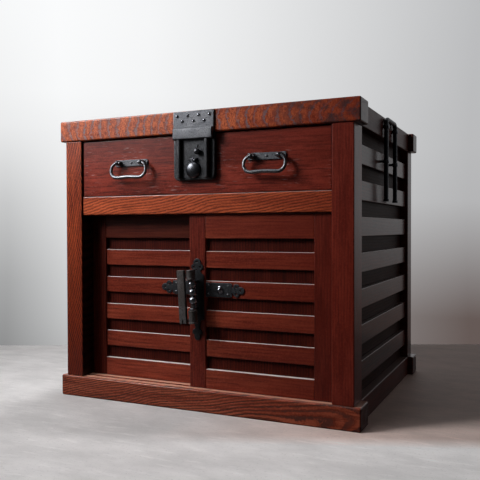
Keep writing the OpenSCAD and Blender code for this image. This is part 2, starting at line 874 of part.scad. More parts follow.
// Half of a bail: an end in its eye, out and down round two bends, and in along the grip
module bail_half() {
    side = bail_w / 2;
    end_x = eye_span / 2 - eye_r - 1;
    pin_x(end_x, side - bail_top_bend, 0, 0, bail_r);
    translate([side - bail_top_bend, 0, -bail_top_bend]) bend_xz(bail_top_bend, bail_r);
    translate([side, 0, -bail_drop + bail_low_bend])
        cylinder(h = bail_drop - bail_low_bend - bail_top_bend, r = bail_r);
    translate([side - bail_low_bend, 0, -bail_drop + bail_low_bend])
        mirror([0, 0, 1]) bend_xz(bail_low_bend, bail_r);
    pin_x(0, side - bail_low_bend, 0, -bail_drop, bail_r);
}

module bail(x) {
    translate([x, bail_y, bail_z]) both_sides() bail_half();
}

module left_bail() {
    stood() color(bright_iron) bail(-handle_x);
}

module right_bail() {
    stood() color(bright_iron) bail(handle_x);
}

// A door lies with its outer stile against the right-hand post; the other is its mirror image
module door_stile(x, y) {
    block(x, x + door_stile_w, y, y + door_t, door_z, door_top);
    block(x, x + door_stile_w, y + tongue_set, y + tongue_set + tongue_t,
        door_z - low_tongue, door_top + high_tongue);
}

module door_stiles(y) {
    door_stile(door_edge - door_stile_w, y);
    door_stile(-door_overlap / 2, y);
}

module door_rails(y) {
    x0 = stile_edge_x;
    x1 = door_edge - door_stile_w;
    block(x0, x1, y, y + door_t, door_z, door_low);
    block(x0, x1, y + tongue_set, y + tongue_set + tongue_t, door_z - low_tongue, door_z + cut);
    block(x0, x1, y, y + door_t, door_high, door_top);
    block(x0, x1, y + tongue_set, y + tongue_set + tongue_t, door_top - cut,
        door_top + high_tongue);
}

module door_slat_set_of(y) {
    for (i = [0 : door_slats - 1])
        block(stile_edge_x, door_edge - door_stile_w, y + door_slat_set,
            y + door_slat_set + door_slat_t, door_slat_z(i), door_slat_z(i) + door_slat_h);
}

module door_panel(y) {
    block(stile_edge_x, door_edge - door_stile_w, y + door_slat_set + door_slat_t,
        y + door_slat_set + door_slat_t + door_panel_t, door_low, door_high);
}

// Flat strap: a straight arm, two small lobes, a neck and three round leaves at the tip
module strap_shape() {
    tip = stile_edge_x + strap_l;
    leaf_x = tip - leaf_r;
    lobe_x = leaf_x - 2.6 * leaf_r - lobe_r;
    difference() {
        union() {
            translate([stile_edge_x, -strap_h / 2]) square([lobe_x - stile_edge_x, strap_h]);
            for (dz = [-1, 1])
                translate([lobe_x, dz * (strap_h / 2 - lobe_r)]) circle(r = lobe_r);
            translate([lobe_x - cut, -lobe_r]) square([leaf_x - lobe_x, 2 * lobe_r]);
            translate([leaf_x, 0]) circle(r = leaf_r);
            for (dz = [-1, 1])
                translate([leaf_x - 1.3 * leaf_r, dz * leaf_r]) circle(r = leaf_r);
        }
        translate([leaf_x, 0]) circle(r = pierce_r);
        for (dz = [-1, 1])
            translate([leaf_x - 1.3 * leaf_r, dz * leaf_r]) circle(r = pierce_r);
    }
}

module strap_nail_set(y) {
    for (x = [stile_edge_x + 6, stile_edge_x + 0.6 * strap_l])
        for (dz = [-1, 1])
            dome(x, strap_z + dz * (strap_h / 2 - 5), y, strap_nail_r, strap_nail_out);
}

// Plate on the stile: three leaves above, a straight part, a waist and a point below
module stile_plate_shape() {
    half = stile_plate_w / 2;
    waist = 0.35 * stile_plate_w;
    top = stile_plate_up;
    low = -stile_plate_down;
    lobe = 0.28 * point_w;
    difference() {
        union() {
            translate([-half, low]) square([stile_plate_w, top - low]);
            translate([-waist, top - cut]) square([2 * waist, 2 * leaf_r]);
            for (side = [-1, 1])
                translate([side * 1.3 * leaf_r, top + leaf_r]) circle(r = leaf_r);
            translate([0, top + 2.3 * leaf_r]) circle(r = leaf_r);
            translate([-waist / 2, low - 0.5 * point_h]) square([waist, 0.5 * point_h + cut]);
            for (side = [-1, 1])
                translate([side * (point_w / 2 - lobe), low - 0.5 * point_h]) circle(r = lobe);
            polygon([
                [-0.38 * point_w, low - 0.6 * point_h], [0, low - point_h],
                [0.38 * point_w, low - 0.6 * point_h], [0, low - 0.4 * point_h]
            ]);
        }
        for (side = [-1, 1])
            translate([side * 1.3 * leaf_r, top + leaf_r]) circle(r = pierce_r);
        translate([0, top + 2.3 * leaf_r]) circle(r = pierce_r);
    }
}

module left_door_stiles() {
    stood() color(red_wood) mirror([1, 0, 0]) door_stiles(rear_door_set);
}

module left_door_rails() {
    stood() color(red_wood) mirror([1, 0, 0]) door_rails(rear_door_set);
}

module left_door_slats() {
    stood() color(red_wood) mirror([1, 0, 0]) door_slat_set_of(rear_door_set);
}

module left_door_panel() {
    stood() color(dark_wood) mirror([1, 0, 0]) door_panel(rear_door_set);
}

module left_door_strap() {
    stood() color(iron) mirror([1, 0, 0])
        plate_at(left_strap_face_y, strap_t) translate([0, strap_z]) strap_shape();
}

module left_strap_nails() {
    stood() color(bright_iron) mirror([1, 0, 0]) strap_nail_set(left_strap_face_y);
}

module right_door_stiles() {
    stood() color(red_wood) door_stiles(front_door_set);
}

module right_door_rails() {
    stood() color(red_wood) door_rails(front_door_set);
}

module right_door_slats() {
    stood() color(red_wood) door_slat_set_of(front_door_set);
}

module right_door_panel() {
    stood() color(dark_wood) door_panel(front_door_set);
}

module right_door_strap() {
    stood() color(iron)
        plate_at(strap_face_y, strap_t) translate([0, strap_z]) strap_shape();
}

module right_strap_nails() {
    stood() color(bright_iron) strap_nail_set(strap_face_y);
}

module strap_stud() {
    stood() color(bright_iron)
        dome(stile_edge_x + stud_x, strap_z, strap_face_y, stud_r, 0.75 * stud_r);
}

module stile_plate() {
    stood() color(iron)
        plate_at(plate_y, strap_t) translate([stile_mid_x, strap_z]) stile_plate_shape();
}

// The padlock hangs along an axis that leans, with its foot to the right
module on_padlock_axis() {
    translate([stile_mid_x, padlock_y, eye_mid_z]) rotate([0, -padlock_lean, 0]) children();
}

// One eye of the staple: an arm from the plate with a ring round the padlock's rod
module staple_eye(top_z) {
    lean_x = (eye_mid_z - top_z + eye_t / 2) * tan(padlock_lean);
    translate([stile_mid_x + lean_x, padlock_y, top_z - eye_t])
        cylinder(h = eye_t, r = eye_ring_r);
    block(stile_mid_x - staple_r, stile_mid_x + staple_r, padlock_y + eye_ring_r - 2, plate_y,
        top_z - eye_t, top_z);
}

// Height of one bead, counted from the top, and its place across, which follows the rod's lean
function bead_z(i) = bead_top_z - i * bead_step;
function bead_x(i) = stile_mid_x + bead_side + (eye_mid_z - bead_z(i)) * tan(padlock_lean);

module door_staple() {
    stood() color(bright_iron) difference() {
        union() {
            translate([stile_mid_x, staple_y, eye_low_z - eye_t])
                cylinder(h = eye_drop, r = staple_r);
            for (i = [0 : beads - 1])
                translate([bead_x(i), staple_y - bead_out, bead_z(i)])
                    sphere(r = bead_r);
            staple_eye(eye_top_z);
            staple_eye(eye_low_z);
        }
        on_padlock_axis()
            translate([0, 0, -eye_drop - 3 * eye_t])
                cylinder(h = eye_drop + 6 * eye_t, r = rod_r + rod_gap);
    }
}

// Flat bar with its keyway, joined by a link behind to the tube that holds the rod's foot
module padlock_case() {
    stood() color(iron) on_padlock_axis() difference() {
        union() {
            member_z(-bar_x - bar_w / 2, -bar_x + bar_w / 2, -bar_t / 2, bar_t / 2,
                lower_tube_z, bar_top);
            block(-bar_x, 0, bar_t / 2 - link_t, bar_t / 2, lower_tube_z + 2,
                lower_tube_z + 2 + link_h);
            translate([0, 0, lower_tube_z]) cylinder(h = lower_tube_l, r = tube_r);
        }
        translate([0, 0, rod_z - 1])
            cylinder(h = rod_entry + 1 + cut, r = rod_r + bail_gap);
        block(-bar_x - 1.5, -bar_x + 1.5, -bar_t / 2 - cut, -bar_t / 2 + 2,
            lower_tube_z - cut, lower_tube_z + 8);
    }
}

// Upper tube and rod in one, with a link that runs behind the flat bar
module padlock_shackle() {
    link_y = bar_t / 2 + link_gap;
    stood() color(iron) on_padlock_axis() {
        translate([0, 0, upper_tube_z]) cylinder(h = upper_tube_l, r = tube_r);
        translate([0, 0, rod_z]) cylinder(h = upper_tube_z - rod_z + cut, r = rod_r);
        block(-bar_x, 0, link_y, link_y + link_t, upper_tube_z + 5,
            upper_tube_z + 5 + link_h);
    }
}

// Half of a carrying bar: half the crosspiece, a bend, a leg and its flared foot
module carrying_half() {
    leg = carry_w / 2;
    translate([0, 0, carry_top]) rotate([-90, 0, 0])
        cylinder(h = leg - carry_bend, r = carry_r);
    translate([0, leg - carry_bend, carry_top - carry_bend])
        rotate([0, 0, 90]) bend_xz(carry_bend, carry_r);
    translate([0, leg, carry_foot_z])
        cylinder(h = carry_l - carry_bend, r = carry_r);
    translate([0, leg, carry_foot_z]) cylinder(h = foot_h, r = foot_r);
}

module carrying_bar() {
    translate([carry_x, carry_y, 0]) {
        carrying_half();
        mirror([0, 1, 0]) carrying_half();
    }
}

module left_carrying_bar() {
    stood() color(iron) mirror([1, 0, 0]) carrying_bar();
}

module right_carrying_bar() {
    stood() color(iron) carrying_bar();
}

front_top_beam();
rear_top_beam();
side_top_rails();
top_board();
front_base_beam();
rear_base_beam();
side_base_rails();
floor_board();
front_posts();
rear_posts();
mid_rail();
rear_mid_rail();
dust_board();
drawer_runners();
drawer_kickers();
side_boards();
left_side_slats();
right_side_slats();
back_board();
keeper_plate();
keeper_nails();
carrying_bar_staples();
drawer_front();
drawer_sides();
drawer_back();
drawer_bottom();
lock_case();
lock_hood();
cover_pin();
bail_plates();
bail_plate_nails();
bail_eyes();
lock_bolt();
bolt_knob();
keyhole_cover();
left_bail();
right_bail();
left_door_stiles();
left_door_rails();
left_door_slats();
left_door_panel();
left_door_strap();
left_strap_nails();
right_door_stiles();
right_door_rails();
right_door_slats();
right_door_panel();
right_door_strap();
right_strap_nails();
strap_stud();
stile_plate();
door_staple();
padlock_case();
padlock_shackle();
left_carrying_bar();
right_carrying_bar();
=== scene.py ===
"""Merchant chest in red lacquered wood with iron fittings, dressed for its picture.

Every piece is modelled in metres, in its place on the frame that is loaded first.
"""

import contextlib
import math
from dataclasses import dataclass, replace

import bmesh
import bpy
from bpy.props import FloatProperty, FloatVectorProperty, IntProperty, PointerProperty
from mathutils import Euler, Matrix, Vector


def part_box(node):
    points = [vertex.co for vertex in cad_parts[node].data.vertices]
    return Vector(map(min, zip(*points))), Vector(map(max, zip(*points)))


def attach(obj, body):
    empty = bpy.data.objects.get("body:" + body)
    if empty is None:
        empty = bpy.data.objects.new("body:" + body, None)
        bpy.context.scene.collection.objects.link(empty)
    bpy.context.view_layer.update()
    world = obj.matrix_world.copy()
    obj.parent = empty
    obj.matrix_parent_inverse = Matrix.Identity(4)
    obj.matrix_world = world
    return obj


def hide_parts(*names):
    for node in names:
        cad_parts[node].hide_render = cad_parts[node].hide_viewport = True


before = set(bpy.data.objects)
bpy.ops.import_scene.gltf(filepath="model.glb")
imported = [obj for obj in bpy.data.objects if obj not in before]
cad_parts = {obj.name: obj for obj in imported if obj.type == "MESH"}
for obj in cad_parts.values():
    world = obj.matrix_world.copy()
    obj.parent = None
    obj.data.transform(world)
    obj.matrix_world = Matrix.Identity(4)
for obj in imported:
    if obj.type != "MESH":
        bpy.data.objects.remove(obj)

bl_info = {
    "name": "Merchant chest",
    "version": (1, 0, 0),
    "blender": (4, 5, 0),
    "location": "3D View > Sidebar > Chest",
    "description": "Models and finishes a small counter chest with a drawer and sliding doors",
    "category": "Object",
}

# The faces of the front beams, from which depths are counted
BEAM_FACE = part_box("front_top_beam")[0].y

# How near, in metres, a place has to be to count as met
NEAR = 1e-5

# Angle between two faces, in radians, from which their edge is an arris to be rounded
ARRIS_ANGLE = 0.6

# Angle between two faces, in degrees, up to which their edge is shaded round
SMOOTH_ANGLE = 38

# Height of the doors' straps above the floor, in millimetres
STRAP_HEIGHT = 220

# How far the padlock leans, in radians, and the height of the point that it leans about
LOCK_LEAN = math.radians(3.5)
LOCK_HEIGHT = 236.35


def at(x, y, z):
    """A point from millimetres to the right, behind the beams' faces and above the floor."""
    return Vector((x / 1000, BEAM_FACE + y / 1000, z / 1000))


def span(low, high):
    """Two corners, each given in millimetres as at() takes them."""
    return at(*low), at(*high)


# Sizes and colours that a user would change


def colour(name, description, default):
    """A colour setting."""
    return FloatVectorProperty(
        name=name, description=description, default=default, subtype="COLOR", size=3, min=0, max=1
    )


def length(name, description, default):
    """A length setting, in metres."""
    return FloatProperty(
        name=name, description=description, default=default, min=0.0001, max=0.05, unit="LENGTH"
    )


def power(name, description, default):
    """A setting for the power of a lamp."""
    return FloatProperty(name=name, description=description, default=default, min=0, unit="POWER")


class ChestWoodSettings(bpy.types.PropertyGroup):
    """Colours and sizes of the wooden members."""

    beam_light: colour("Beam, light wood", "Light wood of the top beam", (0.61, 0.145, 0.048))
    beam_dark: colour("Beam, dark wood", "Dark wood of beams, left post and mid rail", (0.2, 0.022, 0.008))
    ring_line: colour("Ring line", "Open grain along the rings of the top beam", (0.17, 0.14, 0.155))
    front_light: colour("Front, light wood", "Light wood of the drawer and right post", (0.3, 0.042, 0.023))
    front_dark: colour("Front, dark wood", "Dark wood of the drawer and doors", (0.12, 0.012, 0.006))
    slat_light: colour("Slats, light wood", "Light wood of the doors' slats and rails", (0.35, 0.066, 0.032))
    side_light: colour("Side, light wood", "Light wood of the sides, back and top", (0.15, 0.032, 0.02))
    side_dark: colour("Side, dark wood", "Dark wood of the sides, back and top", (0.055, 0.014, 0.01))
    plain_light: colour("Plain wood", "Bare wood inside the chest", (0.52, 0.36, 0.21))
    beam_arris: length("Beam arris", "Radius of the arrises of the beams", 0.0028)
    post_arris: length("Post arris", "Radius of the arrises of the posts and rails", 0.0018)
    slat_arris: length("Slat arris", "Radius of the arrises of the slats", 0.0011)
    ring_step: length("Ring spacing", "Distance from one ring line of the top beam to the next", 0.019)


class ChestIronSettings(bpy.types.PropertyGroup):
    """Colours and sizes of the iron fittings."""

    plate: colour("Plate iron", "Blackened iron of all but the padlock", (0.083, 0.087, 0.099))
    worn: colour("Worn iron", "Iron where the black has rubbed off", (0.22, 0.22, 0.23))
    brown: colour("Brown iron", "Browned iron of the padlock", (0.06, 0.047, 0.042))
    soft_edge: length("Plate edge", "Radius of the edges of the straps and the stile plate", 0.0006)
    nail_radius: length("Nail radius", "Radius of the heads on the keeper plate", 0.0029)
    bail_radius: length("Bail radius", "Radius of a drawer handle's bar", 0.0028)
    round_steps: IntProperty(
        name="Round steps", description="Faces round a turned piece", default=32, min=12, max=96
    )


class ChestStageSettings(bpy.types.PropertyGroup):
    """Light and floor round the chest."""

    key_power: power("Main lamp", "Power of the lamp above the left front", 4.9)
    panel_power: power("Soft panel", "Power of the wide panel at the left", 7.0)
    top_power: power("Top lamp", "Power of the lamp over the floor in front", 1.75)
    fill: FloatProperty(
        name="Room light", description="Strength of the light from all round", default=0.035, min=0
    )
    floor: colour("Floor", "Colour of the floor", (0.72, 0.7, 0.7))


# Hand tools: selecting, shaping and finishing


def put_down():
    """Leaves edit mode and lets go of everything."""
    if bpy.context.mode != "OBJECT":
        bpy.ops.object.mode_set(mode="OBJECT")
    bpy.ops.object.select_all(action="DESELECT")


def pick_up(*pieces):
    """Selects the pieces, and makes the first the one that is worked on."""
    put_down()
    for piece in pieces:
        piece.select_set(True)
    bpy.context.view_layer.objects.active = pieces[0]
    return pieces[0]


@contextlib.contextmanager
def editing(piece):
    """Edit mode on one piece."""
    pick_up(piece)
    bpy.ops.object.mode_set(mode="EDIT")
    yield
    bpy.ops.object.mode_set(mode="OBJECT")


def choose(piece, kind, test):
    """Selects, in edit mode, the points, edges or faces that the test accepts."""
    bpy.ops.mesh.select_mode(type=kind)
    bpy.ops.mesh.select_all(action="DESELECT")
    mesh = bmesh.from_edit_mesh(piece.data)
    parts = {"VERT": mesh.verts, "EDGE": mesh.edges, "FACE": mesh.faces}[kind]
    chosen = [part for part in parts if test(part)]
    for part in chosen:
        part.select_set(True)
    bmesh.update_edit_mesh(piece.data)
    return len(chosen)


def middle(edge):
    """The middle of an edge."""
    return (edge.verts[0].co + edge.verts[1].co) / 2


def is_sharp(edge):
    """Whether an edge is an arris."""
    return edge.calc_face_angle(0) > ARRIS_ANGLE


def apply_place(piece):
    """Puts a piece's place, turn and scale into its mesh."""
    pick_up(piece)
    bpy.ops.object.transform_apply(location=True, rotation=True, scale=True)
    return piece


def apply_modifier(piece, kind, **settings):
    """Gives a piece a modifier and applies it at once."""
    pick_up(piece)
    modifier = piece.modifiers.new(kind.title(), kind)
    for name, value in settings.items():
        setattr(modifier, name, value)
    bpy.ops.object.modifier_apply(modifier=modifier.name)
    return piece


def block(name, corners):
    """A squared piece between two corners."""
    low, high = corners
    put_down()
    bpy.ops.mesh.primitive_cube_add(size=1, location=(low + high) / 2, scale=high - low)
    piece = bpy.context.object
    piece.name = name
    return apply_place(piece)


def round_arrises(piece, radius, segments=3, test=is_sharp):
    """Rounds the chosen edges."""
    with editing(piece):
        if choose(piece, "EDGE", test):
            bpy.ops.mesh.bevel(offset=radius, segments=segments, affect="EDGES", clamp_overlap=True)
    return piece


def slice_at(piece, axis, *places):
    """Scores the mesh across, at each place along an axis."""
    normal = Vector((axis == 0, axis == 1, axis == 2))
    with editing(piece):
        for place in places:
            bpy.ops.mesh.select_mode(type="FACE")
            bpy.ops.mesh.select_all(action="SELECT")
            bpy.ops.mesh.bisect(plane_co=normal * place, plane_no=normal)
    return piece


def pull(piece, test, by):
    """Draws the chosen faces out by a vector."""
    with editing(piece):
        choose(piece, "FACE", test)
        bpy.ops.mesh.extrude_region_move(TRANSFORM_OT_translate={"value": by})
    return piece


def cut_out(piece, *cutters):
    """Cuts the shapes out of a piece and throws them away."""
    for cutter in cutters:
        apply_modifier(piece, "BOOLEAN", operation="DIFFERENCE", object=cutter, solver="EXACT")
        bpy.data.objects.remove(cutter)
    return piece


def join(name, *pieces):
    """Makes one piece of several."""
    pick_up(*pieces)
    if len(pieces) > 1:
        bpy.ops.object.join()
    piece = bpy.context.object
    piece.name = name
    return piece


def copy_of(piece, name, shift=(0, 0, 0), mirrored=False):
    """A copy with its own mesh, moved along, or mirrored to the other side of the chest."""
    pick_up(piece)
    bpy.ops.object.duplicate(linked=False)
    copy = bpy.context.object
    copy.name = name
    with editing(copy):
        bpy.ops.mesh.select_all(action="SELECT")
        if mirrored:
            bpy.ops.transform.resize(value=(-1, 1, 1), center_override=(0, 0, 0))
            bpy.ops.mesh.normals_make_consistent(inside=False)
        bpy.ops.transform.translate(value=shift)
    return copy


def from_curve(name, line):
    """Turns a drawn curve into a mesh."""
    drawn = bpy.data.objects.new(name, line)
    bpy.context.scene.collection.objects.link(drawn)
    pick_up(drawn)
    bpy.ops.object.convert(target="MESH")
    piece = bpy.context.object
    with editing(piece):
        bpy.ops.mesh.select_all(action="SELECT")
        bpy.ops.mesh.remove_doubles(threshold=0.000004)
        bpy.ops.mesh.normals_make_consistent(inside=False)
    return piece


def add_spline(line, points, closed):
    """Adds a straight-sided line through the points to a curve."""
    spline = line.splines.new("POLY")
    spline.points.add(len(points) - 1)
    for place, point in zip(spline.points, points):
        place.co = (*point, 1)
    spline.use_cyclic_u = closed


def turned(name, profile, centre, outward, steps=None):
    """Spins a half outline of (radius, height) pairs, in millimetres, about its own axis."""
    steps = steps or bpy.context.scene.chest_iron.round_steps
    line = bpy.data.curves.new(name, "CURVE")
    line.dimensions = "3D"
    add_spline(line, [(radius / 1000, 0, height / 1000) for radius, height in profile], False)
    piece = from_curve(name, line)
    with editing(piece):
        bpy.ops.mesh.select_all(action="SELECT")
        bpy.ops.mesh.spin(steps=steps, angle=math.tau, center=(0, 0, 0), axis=(0, 0, 1), dupli=False)
        bpy.ops.mesh.select_all(action="SELECT")
        bpy.ops.mesh.remove_doubles(threshold=0.00001)
        bpy.ops.mesh.normals_make_consistent(inside=False)
    turns = {"UP": (0, 0, 0), "FRONT": (math.pi / 2, 0, 0), "RIGHT": (0, math.pi / 2, 0)}
    piece.rotation_euler = turns[outward]
    piece.location = centre
    return apply_place(piece)


def flat_plate(name, outlines, thickness, front, soft, place=(0, 0)):
    """A plate drawn from the front, in millimetres, with edges rounded by soft, in metres."""
    line = bpy.data.curves.new(name, "CURVE")
    line.dimensions = "2D"
    line.fill_mode = "BOTH"
    line.extrude = thickness / 2000 - soft
    line.bevel_depth = soft
    line.bevel_resolution = 2
    line.offset = -soft
    for outline in outlines:
        add_spline(line, [(x / 1000, z / 1000, 0) for x, z in outline], True)
    piece = from_curve(name, line)
    piece.rotation_euler = (math.pi / 2, 0, 0)
    piece.location = at(place[0], front + thickness / 2, place[1])
    return apply_place(piece)


def rod(name, path, radii, round_points):
    """A round bar along a path in metres, with its own radius at each point."""
    line = bpy.data.curves.new(name, "CURVE")
    line.dimensions = "3D"
    line.bevel_depth = 1
    line.bevel_resolution = round_points // 2 - 1
    line.use_fill_caps = True
    line.twist_mode = "MINIMUM"
    add_spline(line, path, False)
    for point, radius in zip(line.splines[0].points, radii):
        point.radius = radius
    return from_curve(name, line)


def arc(x, z, radius, start, end, count=9):
    """Points along part of a circle, with its angles in degrees."""
    turns = [math.radians(start + (end - start) * i / (count - 1)) for i in range(count)]
    return [(x + radius * math.cos(a), z + radius * math.sin(a)) for a in turns]


def ring(x, z, radius, count=16):
    """Points round a whole circle."""
    return arc(x, z, radius, 0, 360 - 360 / count, count)


def dome_profile(radius, height, rim):
    """Half outline of a domed head with a low upright rim."""
    steps = 7
    rise = height - rim
    ball = (radius * radius + rise * rise) / (2 * rise)
    reach = math.asin(min(1, radius / ball)) if rise <= radius else math.pi / 2
    turns = [reach * (1 - i / steps) for i in range(steps + 1)]
    arch = [(ball * math.sin(a), height - ball + ball * math.cos(a)) for a in turns]
    return [(0, 0), (radius, 0)] + arch


def smooth(piece, angle):
    """Smooth shading that keeps an edge between faces sharp where they turn by more than the angle."""
    pick_up(piece)
    bpy.ops.object.shade_smooth_by_angle(angle=math.radians(angle))
    return apply_modifier(piece, "WEIGHTED_NORMAL", keep_sharp=True)


# The finishes by their names, which the first operator fills in
MATERIALS = {}


def place_piece(piece, body, finish, slot, nodes=None, angle=SMOOTH_ANGLE):
    """Finishes a piece: its shading, its material, what it moves with and which node it stands for."""
    smooth(piece, angle)
    piece.data.name = piece.name
    piece.data.materials.clear()
    piece.data.materials.append(MATERIALS[finish])
    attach(piece, body)
    if nodes is None:
        nodes = [slot]
    if nodes:
        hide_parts(*nodes)
    return piece


def dress(finish, *names):
    """Gives nodes of the frame a material."""
    for name in names:
        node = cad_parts[name]
        node.data.materials.clear()
        node.data.materials.append(MATERIALS[finish])


# Materials


def add_node(tree, kind, sockets=None, **settings):
    """Adds a node; each socket is given a value or the socket that feeds it."""
    node = tree.nodes.new(kind)
    for name, value in settings.items():
        setattr(node, name, value)
    for name, value in (sockets or {}).items():
        if isinstance(value, bpy.types.NodeSocket):
            tree.links.new(value, node.inputs[name])
        else:
            node.inputs[name].default_value = value
    return node


def math_node(tree, operation, first, second=0.0, third=0.0):
    """A calculation with values or sockets."""
    node = add_node(tree, "ShaderNodeMath", {0: first, 1: second, 2: third}, operation=operation)
    return node.outputs[0]


def times(tree, first, second):
    """Multiplies two values or sockets."""
    return math_node(tree, "MULTIPLY", first, second)


def noise_at(tree, where, scale, detail, rough=0.5):
    """Noise over a position, which may be stretched by a scale for each axis."""
    if not isinstance(scale, (int, float)):
        where = add_node(tree, "ShaderNodeMapping", {"Vector": where, "Scale": scale}).outputs[0]
        scale = 1.0
    return add_node(
        tree, "ShaderNodeTexNoise",
        {"Vector": where, "Scale": scale, "Detail": detail, "Roughness": rough},
    ).outputs[0]


def ramp(tree, value, *stops):
    """A grey ramp through (place, level) stops."""
    node = add_node(tree, "ShaderNodeValToRGB", {"Fac": value})
    points = node.color_ramp.elements
    points[0].position, points[1].position = stops[0][0], stops[-1][0]
    points[0].color, points[1].color = ((*[stop[1]] * 3, 1) for stop in (stops[0], stops[-1]))
    for place, level in stops[1:-1]:
        points.new(place).color = (level, level, level, 1)
    return node.outputs[0]


def place_ramp(tree, place, *stops, start=-0.5):
    """A grey ramp along an axis, through (metres, level) stops within a metre from its start."""
    from_start = math_node(tree, "ADD", place, -start)
    return ramp(tree, from_start, *[(metres - start, level) for metres, level in stops])


def chance_of(tree, number):
    """A random level for each whole number."""
    return add_node(
        tree, "ShaderNodeTexWhiteNoise", {"W": number}, noise_dimensions="1D"
    ).outputs["Value"]


def tinted(tint, factor):
    """A colour made darker or lighter."""
    return [factor * c for c in tint]


def mix(tree, amount, first, second, blend_type="MIX"):
    """Mixes two colours."""
    node = tree.nodes.new("ShaderNodeMix")
    node.data_type = "RGBA"
    node.blend_type = blend_type
    for socket, value in ((node.inputs[0], amount), (node.inputs[6], first), (node.inputs[7], second)):
        if isinstance(value, bpy.types.NodeSocket):
            tree.links.new(value, socket)
        elif isinstance(value, (int, float)):
            socket.default_value = value
        else:
            socket.default_value = (*value, 1)
    return node.outputs[2]


def new_material(name):
    """A material with its node tree, its shader and the place on the object."""
    material = bpy.data.materials.new(name)
    material.use_nodes = True
    tree = material.node_tree
    tree.nodes.clear()
    shader = tree.nodes.new("ShaderNodeBsdfPrincipled")
    output = tree.nodes.new("ShaderNodeOutputMaterial")
    tree.links.new(shader.outputs[0], output.inputs[0])
    where = tree.nodes.new("ShaderNodeTexCoord").outputs["Object"]
    return material, tree, shader, where


def raise_surface(tree, shader, height, strength, distance):
    """Bumps the surface by a height from nought to one, over a distance in metres."""
    bump = add_node(
        tree, "ShaderNodeBump", {"Height": height, "Strength": strength, "Distance": distance})
    tree.links.new(bump.outputs[0], shader.inputs["Normal"])


@dataclass
class WoodFigure:
    """How the rings, fibres and wear of one kind of member run, with its painted light and shade, in metres
    and degrees.
    """

    heart: Vector  # where the heart of the log lies
    squeeze: tuple  # rings to the metre along each axis of the log
    turn: tuple = (0, 0, 0)  # how the log is turned
    wander: float = 0.5  # how far the rings stray, in rings
    jag: float = 0.1  # how ragged they are, in rings
    wide: tuple = (8, 8, 8)  # how often they stray to the metre, along each axis
    fibre: tuple = (6, 260, 260)  # how fine the fibres are along each axis
    band: tuple = (3, 20, 45)  # how fine the light and dark bands are along each axis
    line: float = 0.7  # strength of the ring lines
    thick: float = 0.16  # their share of a ring
    streak: float = 0.5  # strength of the dark pores
    tone: float = 0.5  # strength of the bands
    speck: float = 0.16  # strength of the fine specks
    boards: tuple = ()  # foot of the lowest board, step to the next, and how their tones differ
    lean: float = 0.0  # how much the rings fan out at the left end
    painted_shade_stops: tuple = ()  # (height, level) stops of painted shade
    painted_dim: float = 0.0  # strength of the painted shade that grows to the right
    smudge: float = 0.0  # strength of the stains at the far right
    scuff: float = 0.0  # strength of the pale scratches
    ledge: float = 0.2  # strength of the painted highlight on the upper faces
    ledge_light: tuple = (0.85, 0.74, 0.73)  # colour of that painted highlight
    painted_right_shade: float = 0.0  # strength of the painted shade on the faces that look to the right
    ends: float = 0.0  # how dark the end grain is
    coat: float = 0.45  # weight of the lacquer's gloss
    shine: float = 0.06  # shine of the wood beneath it


# How far left of the middle a beam's rings begin to fan out, and the height that they fan about
FAN_START, FAN_HEIGHT = 0.08, 0.522

# Roughness of the lacquer
LACQUER_ROUGH = 0.42


def ring_phase(tree, where, parts, figure, ragged):
    """Counts the rings outwards from the heart of the log, with their wander and ragged edge."""
    turn = Euler([math.radians(a) for a in figure.turn])
    shift = -(turn.to_matrix() @ Vector(figure.heart))
    turned_place = add_node(
        tree, "ShaderNodeMapping", {"Vector": where, "Location": shift, "Rotation": turn}
    ).outputs[0]
    pressed = add_node(
        tree, "ShaderNodeMapping", {"Vector": turned_place, "Scale": figure.squeeze}
    ).outputs[0]
    away = add_node(tree, "ShaderNodeVectorMath", {0: pressed}, operation="LENGTH").outputs["Value"]
    drift = noise_at(tree, where, figure.wide, 1.5)
    phase = math_node(tree, "MULTIPLY_ADD", drift, 2 * figure.wander, away)
    phase = math_node(tree, "MULTIPLY_ADD", ragged, 2 * figure.jag, phase)
    if figure.lean:
        leftward = math_node(tree, "MULTIPLY_ADD", parts["X"], -1, -FAN_START)
        rise = math_node(tree, "ADD", parts["Z"], -FAN_HEIGHT)
        lean = times(tree, math_node(tree, "MAXIMUM", leftward, 0), rise)
        phase = math_node(tree, "ADD", phase, times(tree, lean, figure.lean))
    return phase


def ring_lines(tree, phase, round_the_ring, ragged, figure):
    """The open grain along the rings, stronger on some than on others."""
    thick = figure.thick
    late = ramp(tree, round_the_ring, (0.0, 0.0), (0.03, 1.0), (thick, 0.92), (thick + 0.06, 0.18),
                (thick + 0.3, 0.0), (1.0, 0.0))
    chance = chance_of(tree, math_node(tree, "FLOOR", phase))
    lines = times(tree, late, math_node(tree, "MULTIPLY_ADD", chance, 0.4, 0.6))
    broken = ramp(tree, ragged, (0.34, 0.5), (0.5, 1.0))
    return times(tree, times(tree, lines, broken), figure.line)


